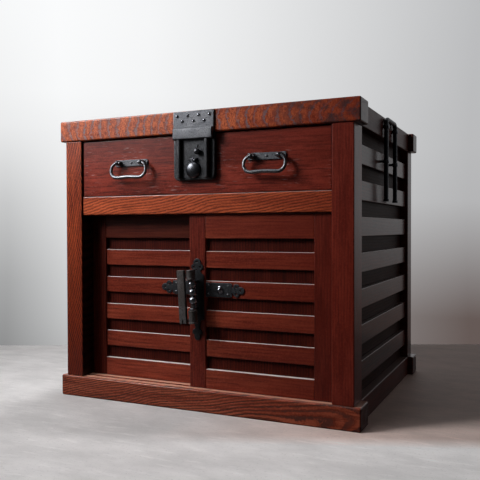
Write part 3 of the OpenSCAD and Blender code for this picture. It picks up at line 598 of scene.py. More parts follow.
def wood_body(tree, where, parts, round_the_ring, fibres, light, dark, figure):
    """The wood's colour beside the ring lines: bands, early wood, boards, fibres and specks."""
    band = noise_at(tree, where, figure.band, 4.0, 0.65)
    shade = times(tree, ramp(tree, band, (0.36, 0.0), (0.62, 1.0)), figure.tone)
    body = mix(tree, shade, light, dark)
    thick = figure.thick
    early = ramp(tree, round_the_ring, (0.0, 0.3), (thick + 0.12, 0.28), (0.7, 0.0), (1.0, 0.22))
    body = mix(tree, early, body, dark)
    if figure.boards:
        foot, step, depth = figure.boards
        count = math_node(tree, "MULTIPLY_ADD", parts["Z"], 1 / step, -foot / step)
        board_tone = chance_of(tree, math_node(tree, "FLOOR", count))
        body = mix(tree, times(tree, board_tone, depth), body, dark)
    bright_fibres = ramp(tree, fibres, (0.52, 0.0), (0.68, 1.0))
    body = mix(tree, times(tree, bright_fibres, 0.3), body, tinted(light, 1.25))
    pores = ramp(tree, fibres, (0.36, 1.0), (0.5, 0.0))
    body = mix(tree, times(tree, pores, figure.streak), body, [0.3 * c + 0.004 for c in dark])
    speckle = noise_at(tree, where, 380.0, 2.0, 0.6)
    dark_specks = ramp(tree, speckle, (0.35, figure.speck), (0.52, 0.0))
    body = mix(tree, dark_specks, body, tinted(dark, 0.4))
    light_specks = ramp(tree, speckle, (0.52, 0.0), (0.68, figure.speck))
    body = mix(tree, light_specks, body, tinted(light, 1.5))
    beside = ramp(tree, round_the_ring, (0.0, 0.0), (thick, 0.0), (thick + 0.05, 0.75),
                  (thick + 0.16, 0.0), (0.9, 0.0), (1.0, 0.6))
    body = mix(tree, times(tree, beside, figure.line), body, tinted(dark, 0.55))
    # Painted shade by height: darker towards the bottom of the left post, and at the tops of the drawer and
    # of the doors under the rail
    if figure.painted_shade_stops:
        body = mix(tree, ramp(tree, parts["Z"], *figure.painted_shade_stops), body, tinted(dark, 0.8))
    return body


def weathered_with_painted_light(tree, where, parts, tint, dark, figure):
    """The wood's colour with its stains, scratches and dark ends, a painted highlight on its upper faces and
    painted shade on the faces that look to the right.
    """
    if figure.smudge:
        stains = ramp(tree, noise_at(tree, where, (26, 20, 34), 4.0, 0.7), (0.46, 0.0), (0.54, 1.0))
        far_right = place_ramp(tree, parts["X"], (0.12, 0.0), (0.24, figure.smudge))
        tint = mix(tree, times(tree, stains, far_right), tint, (0.035, 0.022, 0.024))
    if figure.scuff:
        marks = ramp(tree, noise_at(tree, where, (36, 300, 420), 2.0, 0.7), (0.6, 0.0), (0.72, 1.0))
        patch = ramp(tree, noise_at(tree, where, 16.0, 2.0), (0.5, 0.0), (0.62, 1.0))
        scratches = times(tree, times(tree, marks, patch), figure.scuff)
        tint = mix(tree, scratches, tint, (0.4, 0.3, 0.28))
    facing = tree.nodes.new("ShaderNodeNewGeometry").outputs["True Normal"]
    facing = add_node(tree, "ShaderNodeSeparateXYZ", {0: facing}).outputs
    # Painted highlight: the upper faces behind the beams' faces are paler, as where light falls on them
    lit_ledges = times(tree, ramp(tree, facing["Z"], (0.55, 0.0), (0.9, 1.0)), figure.ledge)
    behind_the_face = place_ramp(tree, parts["Y"], (-0.2395, 0.0), (-0.2365, 1.0))
    tint = mix(tree, times(tree, lit_ledges, behind_the_face), tint, figure.ledge_light)
    if figure.painted_right_shade or figure.ends:
        sideways = math_node(tree, "ABSOLUTE", facing["X"])
        tint = mix(tree, ramp(tree, sideways, (0.5, 0.0), (0.9, figure.ends)), tint, tinted(dark, 0.25))
        # Painted shade on the faces that look to the right, such as the left post's inner face
        painted_rightward = ramp(tree, facing["X"], (0.5, 0.0), (0.8, figure.painted_right_shade))
        tint = mix(tree, painted_rightward, tint, (0.006, 0.003, 0.003))
    return tint


def lacquered_wood(name, light, dark, line_colour, figure):
    """Lacquered wood: ring lines about a heart, fibres along the member, and a thin gloss."""
    material, tree, shader, where = new_material(name)
    parts = add_node(tree, "ShaderNodeSeparateXYZ", {0: where}).outputs
    ragged = noise_at(tree, where, 150.0, 4.0, 0.65)
    phase = ring_phase(tree, where, parts, figure, ragged)
    round_the_ring = math_node(tree, "FRACT", phase)
    lines = ring_lines(tree, phase, round_the_ring, ragged, figure)
    fibres = noise_at(tree, where, figure.fibre, 5.0, 0.7)
    body = wood_body(tree, where, parts, round_the_ring, fibres, light, dark, figure)
    # Painted shade: the wood and its ring lines grow darker towards the right, where less light falls
    if figure.painted_dim:
        painted_rightward = times(tree, place_ramp(tree, parts["X"], (0.0, 0.0), (0.3, 1.0)), figure.painted_dim)
        body = mix(tree, painted_rightward, body, dark)
        line_colour = mix(tree, painted_rightward, line_colour, tinted(dark, 0.6))
    tint = mix(tree, lines, body, line_colour)
    tint = weathered_with_painted_light(tree, where, parts, tint, dark, figure)
    tree.links.new(tint, shader.inputs["Base Color"])
    dull = math_node(tree, "MULTIPLY_ADD", fibres, 0.2, LACQUER_ROUGH - 0.1)
    dull = math_node(tree, "MULTIPLY_ADD", lines, 0.2, dull)
    tree.links.new(dull, shader.inputs["Roughness"])
    sink = math_node(tree, "MULTIPLY_ADD", lines, -1.0, times(tree, fibres, 0.6))
    raise_surface(tree, shader, sink, 0.45, 0.0006)
    shader.inputs["Specular IOR Level"].default_value = figure.shine
    shader.inputs["Coat Weight"].default_value = figure.coat
    shader.inputs["Coat Roughness"].default_value = 0.18
    return material


def wrought_iron(name, tint, worn, rough=0.42, metal=0.85, pit=650.0, deep=0.3, show=0.35):
    """Blackened iron with a finely pitted skin, rubbed bright in patches as strong as show."""
    material, tree, shader, where = new_material(name)
    grain = noise_at(tree, where, pit, 3.0, 0.6)
    hammered = noise_at(tree, where, pit / 5, 2.0)
    patches = noise_at(tree, where, 45.0, 4.0, 0.6)
    rubbed = ramp(tree, patches, (0.42, 0.0), (0.7, 1.0))
    specks = ramp(tree, grain, (0.42, 0.0), (0.6, 1.0))
    amount = times(tree, math_node(tree, "MULTIPLY_ADD", rubbed, 0.6, 0.25), show)
    amount = times(tree, amount, math_node(tree, "MULTIPLY_ADD", specks, 0.8, 0.6))
    base = mix(tree, amount, tint, worn)
    base = mix(tree, ramp(tree, grain, (0.32, 0.7), (0.46, 0.0)), base, (0.012, 0.012, 0.013))
    tree.links.new(base, shader.inputs["Base Color"])
    dull = math_node(tree, "MULTIPLY_ADD", grain, 0.24, rough - 0.1)
    tree.links.new(dull, shader.inputs["Roughness"])
    height = math_node(tree, "MULTIPLY_ADD", grain, 0.5, hammered)
    raise_surface(tree, shader, height, deep, 0.0006)
    shader.inputs["Metallic"].default_value = metal
    return material


def plain_wood(name, light):
    """Bare planed wood of the inside."""
    material, tree, shader, where = new_material(name)
    fibres = noise_at(tree, where, (140, 7, 240), 4.0, 0.6)
    cloud = noise_at(tree, where, (14, 3, 14), 3.0)
    darker = tinted(light, 0.55)
    base = mix(tree, ramp(tree, fibres, (0.3, 0.8), (0.6, 0.0)), light, darker)
    base = mix(tree, ramp(tree, cloud, (0.35, 0.0), (0.7, 0.45)), base, darker)
    tree.links.new(base, shader.inputs["Base Color"])
    tree.links.new(math_node(tree, "MULTIPLY_ADD", fibres, 0.2, 0.55), shader.inputs["Roughness"])
    raise_surface(tree, shader, fibres, 0.25, 0.0003)
    return material


def wood_finishes(wood):
    """For each lacquered wood its light, dark and line colour, and its figure."""
    beam = (wood.beam_light, wood.beam_dark, wood.ring_line)
    sill = ((0.5, 0.125, 0.063), wood.beam_dark, (0.06, 0.028, 0.022))
    post = ((0.62, 0.112, 0.03), wood.beam_dark, (0.03, 0.01, 0.007))
    middle_rail = ((0.6, 0.122, 0.042), wood.beam_dark, (0.03, 0.01, 0.007))
    front = (wood.front_light, wood.front_dark, (0.06, 0.018, 0.014))
    slat = (wood.slat_light, wood.front_dark, (0.06, 0.018, 0.014))
    # Painted shade: a darker copy of the slat wood for the left door's upper rail, which lies in the shadow
    # of the rail over the doors
    shaded = (tinted(wood.slat_light, 0.3), tinted(wood.front_dark, 0.5), (0.02, 0.008, 0.006))
    stile = (tinted(wood.front_light, 0.68), tinted(wood.front_dark, 0.8), (0.04, 0.012, 0.009))
    # Painted shade: a very dark copy of the front wood for the door panels seen between the slats, and for
    # the left door's outer stile in the left post's shadow
    behind = (tinted(wood.front_light, 0.28), tinted(wood.front_dark, 0.3), (0.01, 0.004, 0.003))
    # Painted shade: near-black wood for the side boards, seen in the gaps between the side slats
    recess = ((0.06, 0.022, 0.016), (0.02, 0.008, 0.006), (0.008, 0.004, 0.004))
    side = (wood.side_light, wood.side_dark, (0.03, 0.014, 0.012))

    step = wood.ring_step
    slat_figure = WoodFigure(
        at(100, 200, 900), (5, 30, 150), wander=1.6, jag=0.3, wide=(4, 9, 20),
        fibre=(14, 240, 300), band=(7, 20, 40), line=0.1, thick=0.3, streak=0.5, tone=0.6,
        ledge=0.6, painted_dim=0.3)
    stile_figure = WoodFigure(
        at(-600, 40, 300), (190, 30, 5), wander=1.5, jag=0.3, wide=(20, 9, 4),
        fibre=(300, 200, 22), band=(40, 20, 7), line=0.25, thick=0.3, streak=0.7, tone=1.0, painted_dim=0.6)
    side_figure = WoodFigure(
        at(100, 0, -700), (20, 5, 170), wander=1.5, jag=0.3, wide=(9, 4, 16),
        fibre=(200, 22, 300), band=(20, 5, 40), line=0.1, thick=0.3, streak=0.3, tone=0.8)
    return {
        "top_beam_wood": (beam, WoodFigure(
            at(430, 60, 518), (1 / step, 3, 3.4 / step), wander=1.2, jag=0.58, wide=(11, 9, 13),
            fibre=(300, 90, 110), band=(16, 20, 30), line=1.0, thick=0.18, streak=0.9, tone=0.75,
            speck=0.34, ledge=0.3, lean=-120, painted_dim=0.8, ends=0.8, smudge=0.75)),
        "base_beam_wood": (sill, WoodFigure(
            at(-60, 160, -60), (26, 40, 225), turn=(0, 13, 0), wander=2.6, jag=0.34, wide=(7, 9, 12),
            fibre=(16, 240, 300), line=1.0, thick=0.34, streak=0.6, tone=0.7, ledge=0.72,
            ledge_light=(0.95, 0.5, 0.36), painted_dim=0.3, ends=0.85)),
        "left_post_wood": (post, WoodFigure(
            at(-900, 40, 300), (225, 30, 5), turn=(0, 14, 0), wander=2.2, jag=0.32, wide=(12, 9, 7),
            fibre=(300, 200, 16), band=(40, 20, 5), line=1.0, thick=0.4, tone=0.7,
            painted_right_shade=0.94, painted_shade_stops=((0.05, 1.0), (0.42, 0.0)))),
        "right_post_wood": (front, WoodFigure(
            at(900, 40, 300), (200, 30, 4), wander=1.4, jag=0.25, wide=(12, 9, 5),
            fibre=(300, 200, 26), band=(50, 20, 9), line=0.2, thick=0.3, streak=0.5, tone=0.9,
            painted_dim=0.5)),
        "mid_rail_wood": (middle_rail, WoodFigure(
            at(420, 40, -500), (30, 30, 190), turn=(0, 9, 0), wander=2.4, jag=0.4,
            wide=(7, 9, 16), fibre=(16, 240, 320), line=0.85, thick=0.25, tone=0.6,
            ledge=0.8, painted_dim=0.35)),
        "drawer_wood": (front, WoodFigure(
            at(100, 200, 900), (4, 30, 60), wander=1.4, jag=0.2, wide=(4, 9, 14),
            fibre=(22, 240, 330), band=(7, 20, 24), line=0.0, thick=0.3, streak=0.85, tone=1.0,
            scuff=0.6, painted_dim=0.45, painted_shade_stops=((0.41, 0.0), (0.5, 0.4)))),
        "door_slat_wood": (slat, replace(
            slat_figure, ledge=1.0, boards=(0.0955, 0.05344, 0.6), painted_dim=0.8,
            painted_shade_stops=((0.305, 0.0), (0.33, 0.45)))),
        "painted_shade_upper_rail_wood": (shaded, slat_figure),
        "door_stile_wood": (stile, stile_figure),
        "painted_shade_panel_wood": (behind, replace(
            stile_figure, fibre=(320, 200, 20), band=(30, 20, 7), line=0.4, streak=0.6, tone=0.8,
            painted_dim=0.0, coat=0.05)),
        "painted_shade_recess_wood": (recess, WoodFigure(
            at(100, 0, -700), (20, 5, 170), fibre=(200, 22, 300), band=(20, 5, 40), line=0.2,
            coat=0.0, shine=0.016)),
        "side_rail_wood": (side, replace(side_figure, coat=0.12)),
        "side_wood": (side, side_figure),
        "board_wood": (side, WoodFigure(
            at(40, 200, 900), (60, 6, 20), wander=1.5, jag=0.2, wide=(9, 4, 9),
            fibre=(300, 12, 300), band=(30, 5, 30), line=0.5, thick=0.3, streak=0.5, tone=0.8)),
    }


def iron_finishes(iron):
    """For each iron its tint, how light that and its worn places are, and how its skin is made."""
    black = iron.plate
    return {
        "plate_iron": (black, 0.8, 0.85, {"pit": 480.0, "deep": 0.5, "show": 0.45}),
        "lock_iron": (black, 0.26, 0.5, {"pit": 360.0, "deep": 0.6}),
        "strap_iron": (black, 0.42, 0.8, {"rough": 0.4, "pit": 380.0, "deep": 0.7, "show": 0.22}),
        "bright_iron": (black, 0.9, 1.0, {"rough": 0.26, "deep": 0.1, "show": 0.5}),
        "grip_iron": (black, 0.95, 1.3, {"rough": 0.28, "deep": 0.12, "show": 0.5}),
        "bead_iron": (black, 2.7, 1.8, {"rough": 0.2, "metal": 1.0, "deep": 0.06, "show": 0.4}),
        # dark_iron is the straps' iron made darker for the stile plate: painted shade where the padlock's
        # shadow falls
        "dark_iron": (black, 0.26, 0.7, {"rough": 0.38, "pit": 380.0, "deep": 0.8, "show": 0.2}),
        "dome_iron": (black, 0.9, 0.9, {"rough": 0.3, "metal": 1.0, "deep": 0.08, "show": 0.25}),
        "brown_iron": (iron.brown, 1.0, 0.75, {"metal": 0.6, "pit": 420.0, "deep": 0.7, "show": 0.6}),
    }


class CHEST_OT_materials(bpy.types.Operator):
    """Makes the woods and the irons"""

    bl_idname = "chest.materials"
    bl_label = "Materials"

    def execute(self, context):
        wood, iron = context.scene.chest_wood, context.scene.chest_iron
        for name, (colours, figure) in wood_finishes(wood).items():
            MATERIALS[name] = lacquered_wood(name, *colours, figure)
        MATERIALS["plain_wood"] = plain_wood("plain_wood", wood.plain_light)
        for name, (tint, light, worn, skin) in iron_finishes(iron).items():
            MATERIALS[name] = wrought_iron(name, tinted(tint, light), tinted(iron.worn, worn), **skin)
        return {"FINISHED"}


# Wooden members


def member(name, node, body, material, radius, cutters=()):
    """A squared member with rounded arrises, as long and thick as the frame says."""
    piece = block(name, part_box(node))
    round_arrises(piece, radius)
    cut_out(piece, *cutters)
    return place_piece(piece, body, material, node)


def pair(name, node, body, materials, radius, inner):
    """The like members of the two sides: the right one, and its copy for the left."""
    low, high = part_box(node)
    low = Vector((inner / 1000, low.y, low.z))
    right = block(f"{name}_right", (low, high))
    round_arrises(right, radius)
    left = copy_of(right, f"{name}_left", mirrored=True)
    for piece, material in zip((right, left), materials):
        place_piece(piece, body, material, node)


def track_cutters(half, low, high):
    """Cutters for the tracks of the front and the rear door."""
    wide = 8
    return [
        block("track_cutter", span((-half, y, low), (half, y + wide, high))) for y in (17.5, 39.5)
    ]


class CHEST_OT_beams(bpy.types.Operator):
    """Models the top and base beams, with the mortise and the door tracks"""

    bl_idname = "chest.beams"
    bl_label = "Beams"

    def execute(self, context):
        radius = context.scene.chest_wood.beam_arris
        mortise = block("mortise_cutter", span((2.9, 2.7, 495), (16.1, 6.9, 511.7)))
        member("top_beam_front", "front_top_beam", "carcase", "top_beam_wood", radius,
               cutters=[mortise])
        member("top_beam_rear", "rear_top_beam", "carcase", "side_wood", radius)
        member("base_beam_front", "front_base_beam", "carcase", "base_beam_wood", radius,
               cutters=track_cutters(253.5, 35, 50))
        member("base_beam_rear", "rear_base_beam", "carcase", "side_wood", radius)
        return {"FINISHED"}


class CHEST_OT_posts(bpy.types.Operator):
    """Models the four posts"""

    bl_idname = "chest.posts"
    bl_label = "Posts"

    def execute(self, context):
        radius = context.scene.chest_wood.post_arris
        woods = ("right_post_wood", "left_post_wood")
        pair("front_post", "front_posts", "carcase", woods, radius, 253.5)
        pair("rear_post", "rear_posts", "carcase", ("side_wood", "side_wood"), radius, 253.5)
        return {"FINISHED"}


class CHEST_OT_rails(bpy.types.Operator):
    """Models the rail over the doors and the rails of the sides"""

    bl_idname = "chest.rails"
    bl_label = "Rails"

    def execute(self, context):
        radius = context.scene.chest_wood.post_arris
        member("rail_over_doors", "mid_rail", "carcase", "mid_rail_wood", radius,
               cutters=track_cutters(260, 350, 369))
        woods = ("side_rail_wood", "side_rail_wood")
        pair("side_top_rail", "side_top_rails", "carcase", woods, radius, 267.5)
        pair("side_base_rail", "side_base_rails", "carcase", woods, radius, 267.5)
        return {"FINISHED"}


class CHEST_OT_side_slats(bpy.types.Operator):
    """Models one side slat and copies it over both sides"""

    bl_idname = "chest.side_slats"
    bl_label = "Side slats"

    def execute(self, context):
        low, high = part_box("right_side_slats")
        count, tall = 7, 0.034
        step = (high.z - low.z - tall) / (count - 1)
        first = block("right_slat_1", (low, Vector((high.x, high.y, low.z + tall))))
        round_arrises(first, context.scene.chest_wood.slat_arris)
        slats = [first] + [
            copy_of(first, f"right_slat_{i + 1}", shift=(0, 0, i * step)) for i in range(1, count)
        ]
        for i, slat in enumerate(slats):
            other = copy_of(slat, f"left_slat_{i + 1}", mirrored=True)
            place_piece(slat, "carcase", "side_wood", "right_side_slats")
            place_piece(other, "carcase", "side_wood", "left_side_slats")
        return {"FINISHED"}


class CHEST_OT_boards(bpy.types.Operator):
    """Finishes the boards, runners and drawer parts of the frame, and models the back"""

    bl_idname = "chest.boards"
    bl_label = "Boards and inside"

    def execute(self, context):
        dress("plain_wood", "floor_board", "rear_mid_rail", "dust_board",
              "drawer_runners", "drawer_kickers", "drawer_sides", "drawer_back", "drawer_bottom")
        dress("board_wood", "top_board")
        dress("painted_shade_recess_wood", "side_boards")
        dress("painted_shade_panel_wood", "left_door_panel", "right_door_panel")
        low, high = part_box("back_board")
        count = 5
        wide = (high.x - low.x) / count
        first = block("back_plank_1", (low, Vector((low.x + wide, high.y, high.z))))
        round_arrises(first, 0.0016, 2)
        planks = [first] + [
            copy_of(first, f"back_plank_{i + 1}", shift=(i * wide, 0, 0)) for i in range(1, count)
        ]
        for plank in planks:
            place_piece(plank, "carcase", "board_wood", "back_board")
        return {"FINISHED"}


class CHEST_OT_drawer_front(bpy.types.Operator):
    """Models the drawer front"""

    bl_idname = "chest.drawer_front"
    bl_label = "Drawer front"

    def execute(self, context):
        member("drawer_face", "drawer_front", "drawer", "drawer_wood",
               context.scene.chest_wood.post_arris)
        return {"FINISHED"}


def door_member(name, x0, x1, face, low, high, tongues, radius):
    """A stile or rail of a door, with the tongues that run in the tracks."""
    piece = block(name, span((x0, face, low), (x1, face + 15, high)))
    slice_at(piece, 1, at(0, face + 4, 0).y, at(0, face + 11, 0).y)
    centre = at(0, face + 7.5, 0).y
    for end, level, reach in (("low", low, -5.7), ("high", high, 7.0)):
        if end in tongues:
            height = level / 1000
            pull(piece, lambda f: abs(f.calc_center_median().z - height) < NEAR
                 and abs(f.calc_center_median().y - centre) < 0.003, (0, 0, reach / 1000))
    bottom, top = at(0, 0, low).z, at(0, 0, high).z
    round_arrises(piece, radius, 3, lambda e: is_sharp(e) and bottom - NEAR < middle(e).z < top + NEAR
                  and abs(middle(e).y - centre) > 0.006)
    return piece


def hang_in_door(piece, side, node, finish):
    """Finishes a part of a door, which is mirrored first where it is for the left one."""
    if side == "left":
        name = piece.name
        other = copy_of(piece, name + "_", mirrored=True)
        bpy.data.objects.remove(piece)
        piece = other
        piece.name = name
    place_piece(piece, f"{side}_door", finish, node)


class CHEST_OT_doors(bpy.types.Operator):
    """Models the two sliding doors: stiles, rails and slats"""

    bl_idname = "chest.doors"
    bl_label = "Doors"

    def execute(self, context):
        wood = context.scene.chest_wood
        post, slat = wood.post_arris, wood.slat_arris
        foot, head = 41, 356
        meeting, inner, outer, edge = -18.5, 14.5, 220, 253
        for side, face, outer_wood, upper_wood in (
            ("right", 14, "door_stile_wood", "door_slat_wood"),
            ("left", 36, "painted_shade_panel_wood", "painted_shade_upper_rail_wood"),
        ):
            both = ("low", "high")
            for name, x0, x1, low, high, tongues, radius, node, finish in (
                ("outer_stile", outer, edge, foot, head, both, post, "stiles", outer_wood),
                ("meeting_stile", meeting, inner, foot, head, both, post, "stiles", "door_stile_wood"),
                ("lower_rail", inner, outer, foot, 75.5, ("low",), slat, "rails", "door_slat_wood"),
                ("upper_rail", inner, outer, 312.5, head, ("high",), slat, "rails", upper_wood),
            ):
                made = door_member(f"{side}_{name}", x0, x1, face, low, high, tongues, radius)
                hang_in_door(made, side, f"{side}_door_{node}", finish)
            first = block("first_slat", span((inner, face + 2, 98.74), (outer, face + 8, 128.94)))
            round_arrises(first, slat)
            for i in range(4):
                made = copy_of(first, f"{side}_door_slat_{i + 1}", shift=(0, 0, i * 0.05344))
                hang_in_door(made, side, f"{side}_door_slats", "door_slat_wood")
            bpy.data.objects.remove(first)
        return {"FINISHED"}


# Iron fittings


class CHEST_OT_keeper(bpy.types.Operator):
    """Models the keeper plate on the top beam and its seven nails"""

    bl_idname = "chest.keeper"
    bl_label = "Keeper plate"

    def execute(self, context):
        iron = context.scene.chest_iron
        low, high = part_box("keeper_plate")
        plate = block("keeper", (low, high))
        round_arrises(plate, 0.0012, 3, lambda e: is_sharp(e) and middle(e).y < low.y + NEAR)
        place_piece(plate, "carcase", "plate_iron", "keeper_plate")
        profile = dome_profile(iron.nail_radius * 1000, 2.4, 0.5)
        places = [(x, 532.5) for x in (-33, -11, 11, 33)] + [(x, 522.5) for x in (-22, 0, 22)]
        first = turned("nail", profile, at(0, -4, 0), "FRONT", 20)
        for i, (x, z) in enumerate(places):
            nail = copy_of(first, f"keeper_nail_{i + 1}", shift=(x / 1000, 0, z / 1000))
            place_piece(nail, "carcase", "bead_iron", "keeper_nails")
        bpy.data.objects.remove(first)
        return {"FINISHED"}


class CHEST_OT_lock_case(bpy.types.Operator):
    """Models the lock case: flange, ribs, middle, hinge lugs and the hood over it"""

    bl_idname = "chest.lock_case"
    bl_label = "Lock case"

    def execute(self, context):
        half, foot, head = 41.8, 416.8, 500.0
        outline = [(-half, head), *arc(-half + 10, foot + 10, 10, 180, 270),
                   *arc(half - 10, foot + 10, 10, 270, 360), (half, head)]
        flange = flat_plate("flange", [outline], 9, -1.5, 0.002)
        pocket = block("pocket_cutter", span((3.2, 2.6, 455.4), (15.8, 6.6, 505)))
        cut_out(flange, pocket)
        front = block("middle", span((-24, -3, foot + 5), (24, 2.5, 489.5)))
        slot = flat_plate("slot_cutter", [
            arc(9.5, 467.3, 2, 180, 360) + arc(9.5, 477.8, 2, 0, 180)], 8, -5, 0.0001)
        keyhole = flat_plate("keyhole_cutter", [
            arc(0, 438.5, 3, -60, 240) + [(-1.6, 429.6), (1.6, 429.6)]], 16, -5, 0.0001)
        cut_out(front, slot, keyhole)
        parts = [flange, front]
        for side in (-1, 1):
            rib = block("rib", span((28 * side - 4.4, -10, foot + 4), (28 * side + 4.4, 2.5, 489.5)))
            round_arrises(rib, 0.0034, 8, lambda e: middle(e).y < at(0, -9.9, 0).y
                          and abs(e.verts[0].co.z - e.verts[1].co.z) > 0.01)
            round_arrises(rib, 0.0012, 2, lambda e: is_sharp(e) and middle(e).z < at(0, 0, foot + 4.1).z
                          and middle(e).y < at(0, 1, 0).y)
            parts.append(rib)
            lug = turned("lug", [(1.5, 0), (1.8, 0), (2, 0.2), (2, 2.8), (1.8, 3), (1.5, 3)],
                         at(4.8 if side > 0 else -7.8, -6.6, 453.8), "RIGHT", 20)
            foot_block = block("lug_foot", span(
                (4.9 if side > 0 else -7.7, -5.4, 451.2), (7.7 if side > 0 else -4.9, -2.5, 456.4)))
            parts += [lug, foot_block]
        case = join("lock_body", *parts)
        place_piece(case, "drawer", "lock_iron", "lock_case")

        hood = block("lock_hood_band", span((-39.6, -10.6, 489.5), (40.6, 1.5, 500)))
        slice_at(hood, 1, at(0, -4.7, 0).y)
        pull(hood, lambda f: f.normal.z > 0.9 and f.calc_center_median().y < at(0, -5, 0).y,
             (0, 0, 0.010))
        round_arrises(hood, 0.0022, 3, lambda e: is_sharp(e) and middle(e).y < at(0, -10.5, 0).y)
        round_arrises(hood, 0.0008, 2, lambda e: is_sharp(e) and middle(e).z > at(0, 0, 509).z)
        place_piece(hood, "drawer", "plate_iron", "lock_hood")
        dress("bright_iron", "cover_pin")
        return {"FINISHED"}


class CHEST_OT_bolt(bpy.types.Operator):
    """Models the slide bolt and its knob"""

    bl_idname = "chest.bolt"
    bl_label = "Bolt and knob"

    def execute(self, context):
        low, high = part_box("lock_bolt")
        bolt = block("slide_bolt", (low, high))
        round_arrises(bolt, 0.0006, 2)
        place_piece(bolt, "drawer_bolt", "bright_iron", "lock_bolt")
        ball = [(5.5 * math.cos(a), 11 + 5.5 * math.sin(a))
                for a in [math.radians(-53 + 143 * i / 10) for i in range(11)]]
        profile = [(0, 0), (1.7, 0), (1.7, 6.2), (2.9, 6.4)] + ball[:-1] + [(0, 16.5)]
        knob = turned("bolt_pull", profile, at(9.5, 3.3, 467.3), "FRONT")
        place_piece(knob, "drawer_bolt", "bright_iron", "bolt_knob")
        return {"FINISHED"}


class CHEST_OT_keyhole_cover(bpy.types.Operator):
    """Models the domed keyhole cover with its knuckle and small leaves"""

    bl_idname = "chest.keyhole_cover"
    bl_label = "Keyhole cover"

    def execute(self, context):
        arch = [(15 * math.cos(a), 0.8 + 7.2 * math.sin(a))
                for a in [math.radians(9 * i) for i in range(11)]]
        dome = turned("dome", [(0, 0), (15, 0)] + arch[:-1] + [(0, 8)], at(0, -3.3, 435.5), "FRONT", 48)
        knuckle = turned("knuckle", [(1.5, 2), (1.8, 2), (2, 2.2), (2, 6.8), (1.8, 7), (1.5, 7), (1.5, 2)],
                         at(-4.5, -6.6, 453.8), "RIGHT", 20)
        neck = block("neck", span((-3.6, -6.6, 446.5), (3.6, -4.2, 452.6)))
        round_arrises(neck, 0.001, 2)
        cover = join("keyhole_dome", dome, knuckle, neck)
        place_piece(cover, "keyhole_cover", "dome_iron", "keyhole_cover")
        leaves = [turned("leaf", dome_profile(2.0, 2.2, 0.4), at(x, -8.2, z), "FRONT", 16)
                  for x, z in ((2.4, 455.0), (-0.4, 452.2), (5.2, 452.2))]
        leaves.append(block("leaf_plate", span((-1.6, -8.4, 450.8), (6.4, -7.4, 455.8))))
        place_piece(join("keyhole_leaves", *leaves), "keyhole_cover", "bead_iron", "keyhole_cover", nodes=())
        return {"FINISHED"}


def rounded_box(x, z, wide, tall, corner):
    """Outline of a box with rounded corners about a middle point."""
    a, b = wide / 2 - corner, tall / 2 - corner
    return (arc(x + a, z + b, corner, 0, 90, 5) + arc(x - a, z + b, corner, 90, 180, 5)
            + arc(x - a, z - b, corner, 180, 270, 5) + arc(x + a, z - b, corner, 270, 360, 5))


class CHEST_OT_bails(bpy.types.Operator):
    """Models the drawer's two handles with their plates, eyes and nails"""

    bl_idname = "chest.bails"
    bl_label = "Drawer handles"

    def execute(self, context):
        radius = context.scene.chest_iron.bail_radius
        eye_height = 454.3
        plate = flat_plate("first_plate", [rounded_box(0, 454.25, 72, 12.5, 2)], 2.5, 5, 0.0007)
        nail = turned("first_nail", dome_profile(2.2, 1.2, 0.3), at(0, 5, 454.25), "FRONT", 16)
        arch = [(4.8 * math.cos(a), 9 + 4.8 * math.sin(a))
                for a in [math.radians(90 * i / 8) for i in range(9)]]
        profile = [(0, -0.2), (5.4, -0.2), (5.4, 0.5), (4.8, 1.0)] + arch[:-1] + [(0, 13.8)]
        eye = turned("first_eye", profile, at(0, 5, eye_height), "FRONT", 24)
        hole = turned("hole_cutter", [(0, -8), (2.9, -8), (2.9, 8), (0, 8)],
                      at(0, -4, eye_height), "RIGHT", 24)
        cut_out(eye, hole)
        half = [(20.2, 0), (25.8, 0), (30, -0.8), (34, -3.2), (37.2, -7.4), (38.6, -12.6), (38, -18.4),
                (35.4, -23.2), (31, -26.6), (25.4, -28), (18, -27.8), (10, -27.2), (4, -26.9)]
        thick = [0.95, 0.95, 0.98, 1, 1.02, 1.04, 1.06, 1.1, 1.14, 1.18, 1.2, 1.2, 1.18]
        path = [(-x, z) for x, z in half] + [(0, -26.9)] + [(x, z) for x, z in reversed(half)]
        thick = thick + [1.18] + thick[::-1]
        bail = rod("first_bail", [at(x, -4 + 0.13 * z, eye_height + z) for x, z in path],
                   [radius * t for t in thick], 14)
        for side_name, x in (("left", -0.138), ("right", 0.138)):
            made = copy_of(plate, f"{side_name}_handle_plate", shift=(x, 0, 0))
            place_piece(made, "drawer", "plate_iron", "bail_plates")
            made = copy_of(nail, f"{side_name}_handle_nail", shift=(x, 0, 0))
            place_piece(made, "drawer", "bright_iron", "bail_plate_nails")
            for end, dx in (("a", -0.0258), ("b", 0.0258)):
                made = copy_of(eye, f"{side_name}_handle_eye_{end}", shift=(x + dx, 0, 0))
                place_piece(made, "drawer", "bright_iron", "bail_eyes")
            made = copy_of(bail, f"{side_name}_handle", shift=(x, 0, 0))
            place_piece(made, f"{side_name}_bail", "grip_iron", f"{side_name}_bail", angle=60)
        for piece in (plate, nail, eye, bail):
            bpy.data.objects.remove(piece)
        return {"FINISHED"}


def mirrored_path(path):
    """A half outline and its mirror image below, as one closed outline."""
    return path + [(x, -z) for x, z in reversed(path) if z > 1e-6]


def strap_outline():
    """Outline of a strap: arm, two lobes, neck and three leaves, with its stile end at zero."""
    half = [(0, 0), (0, 12.4), (1.6, 13), (6, 13), (9.5, 12), (13, 13), (43.4, 13)]
    half += arc(48.4, 8, 5, 90, -37, 8)
    half += arc(61.2, 6, 6, 190, -2.7, 12)
    half += arc(70.5, 0, 6.6, 107.5, 0, 7)
    return mirrored_path(half[1:])


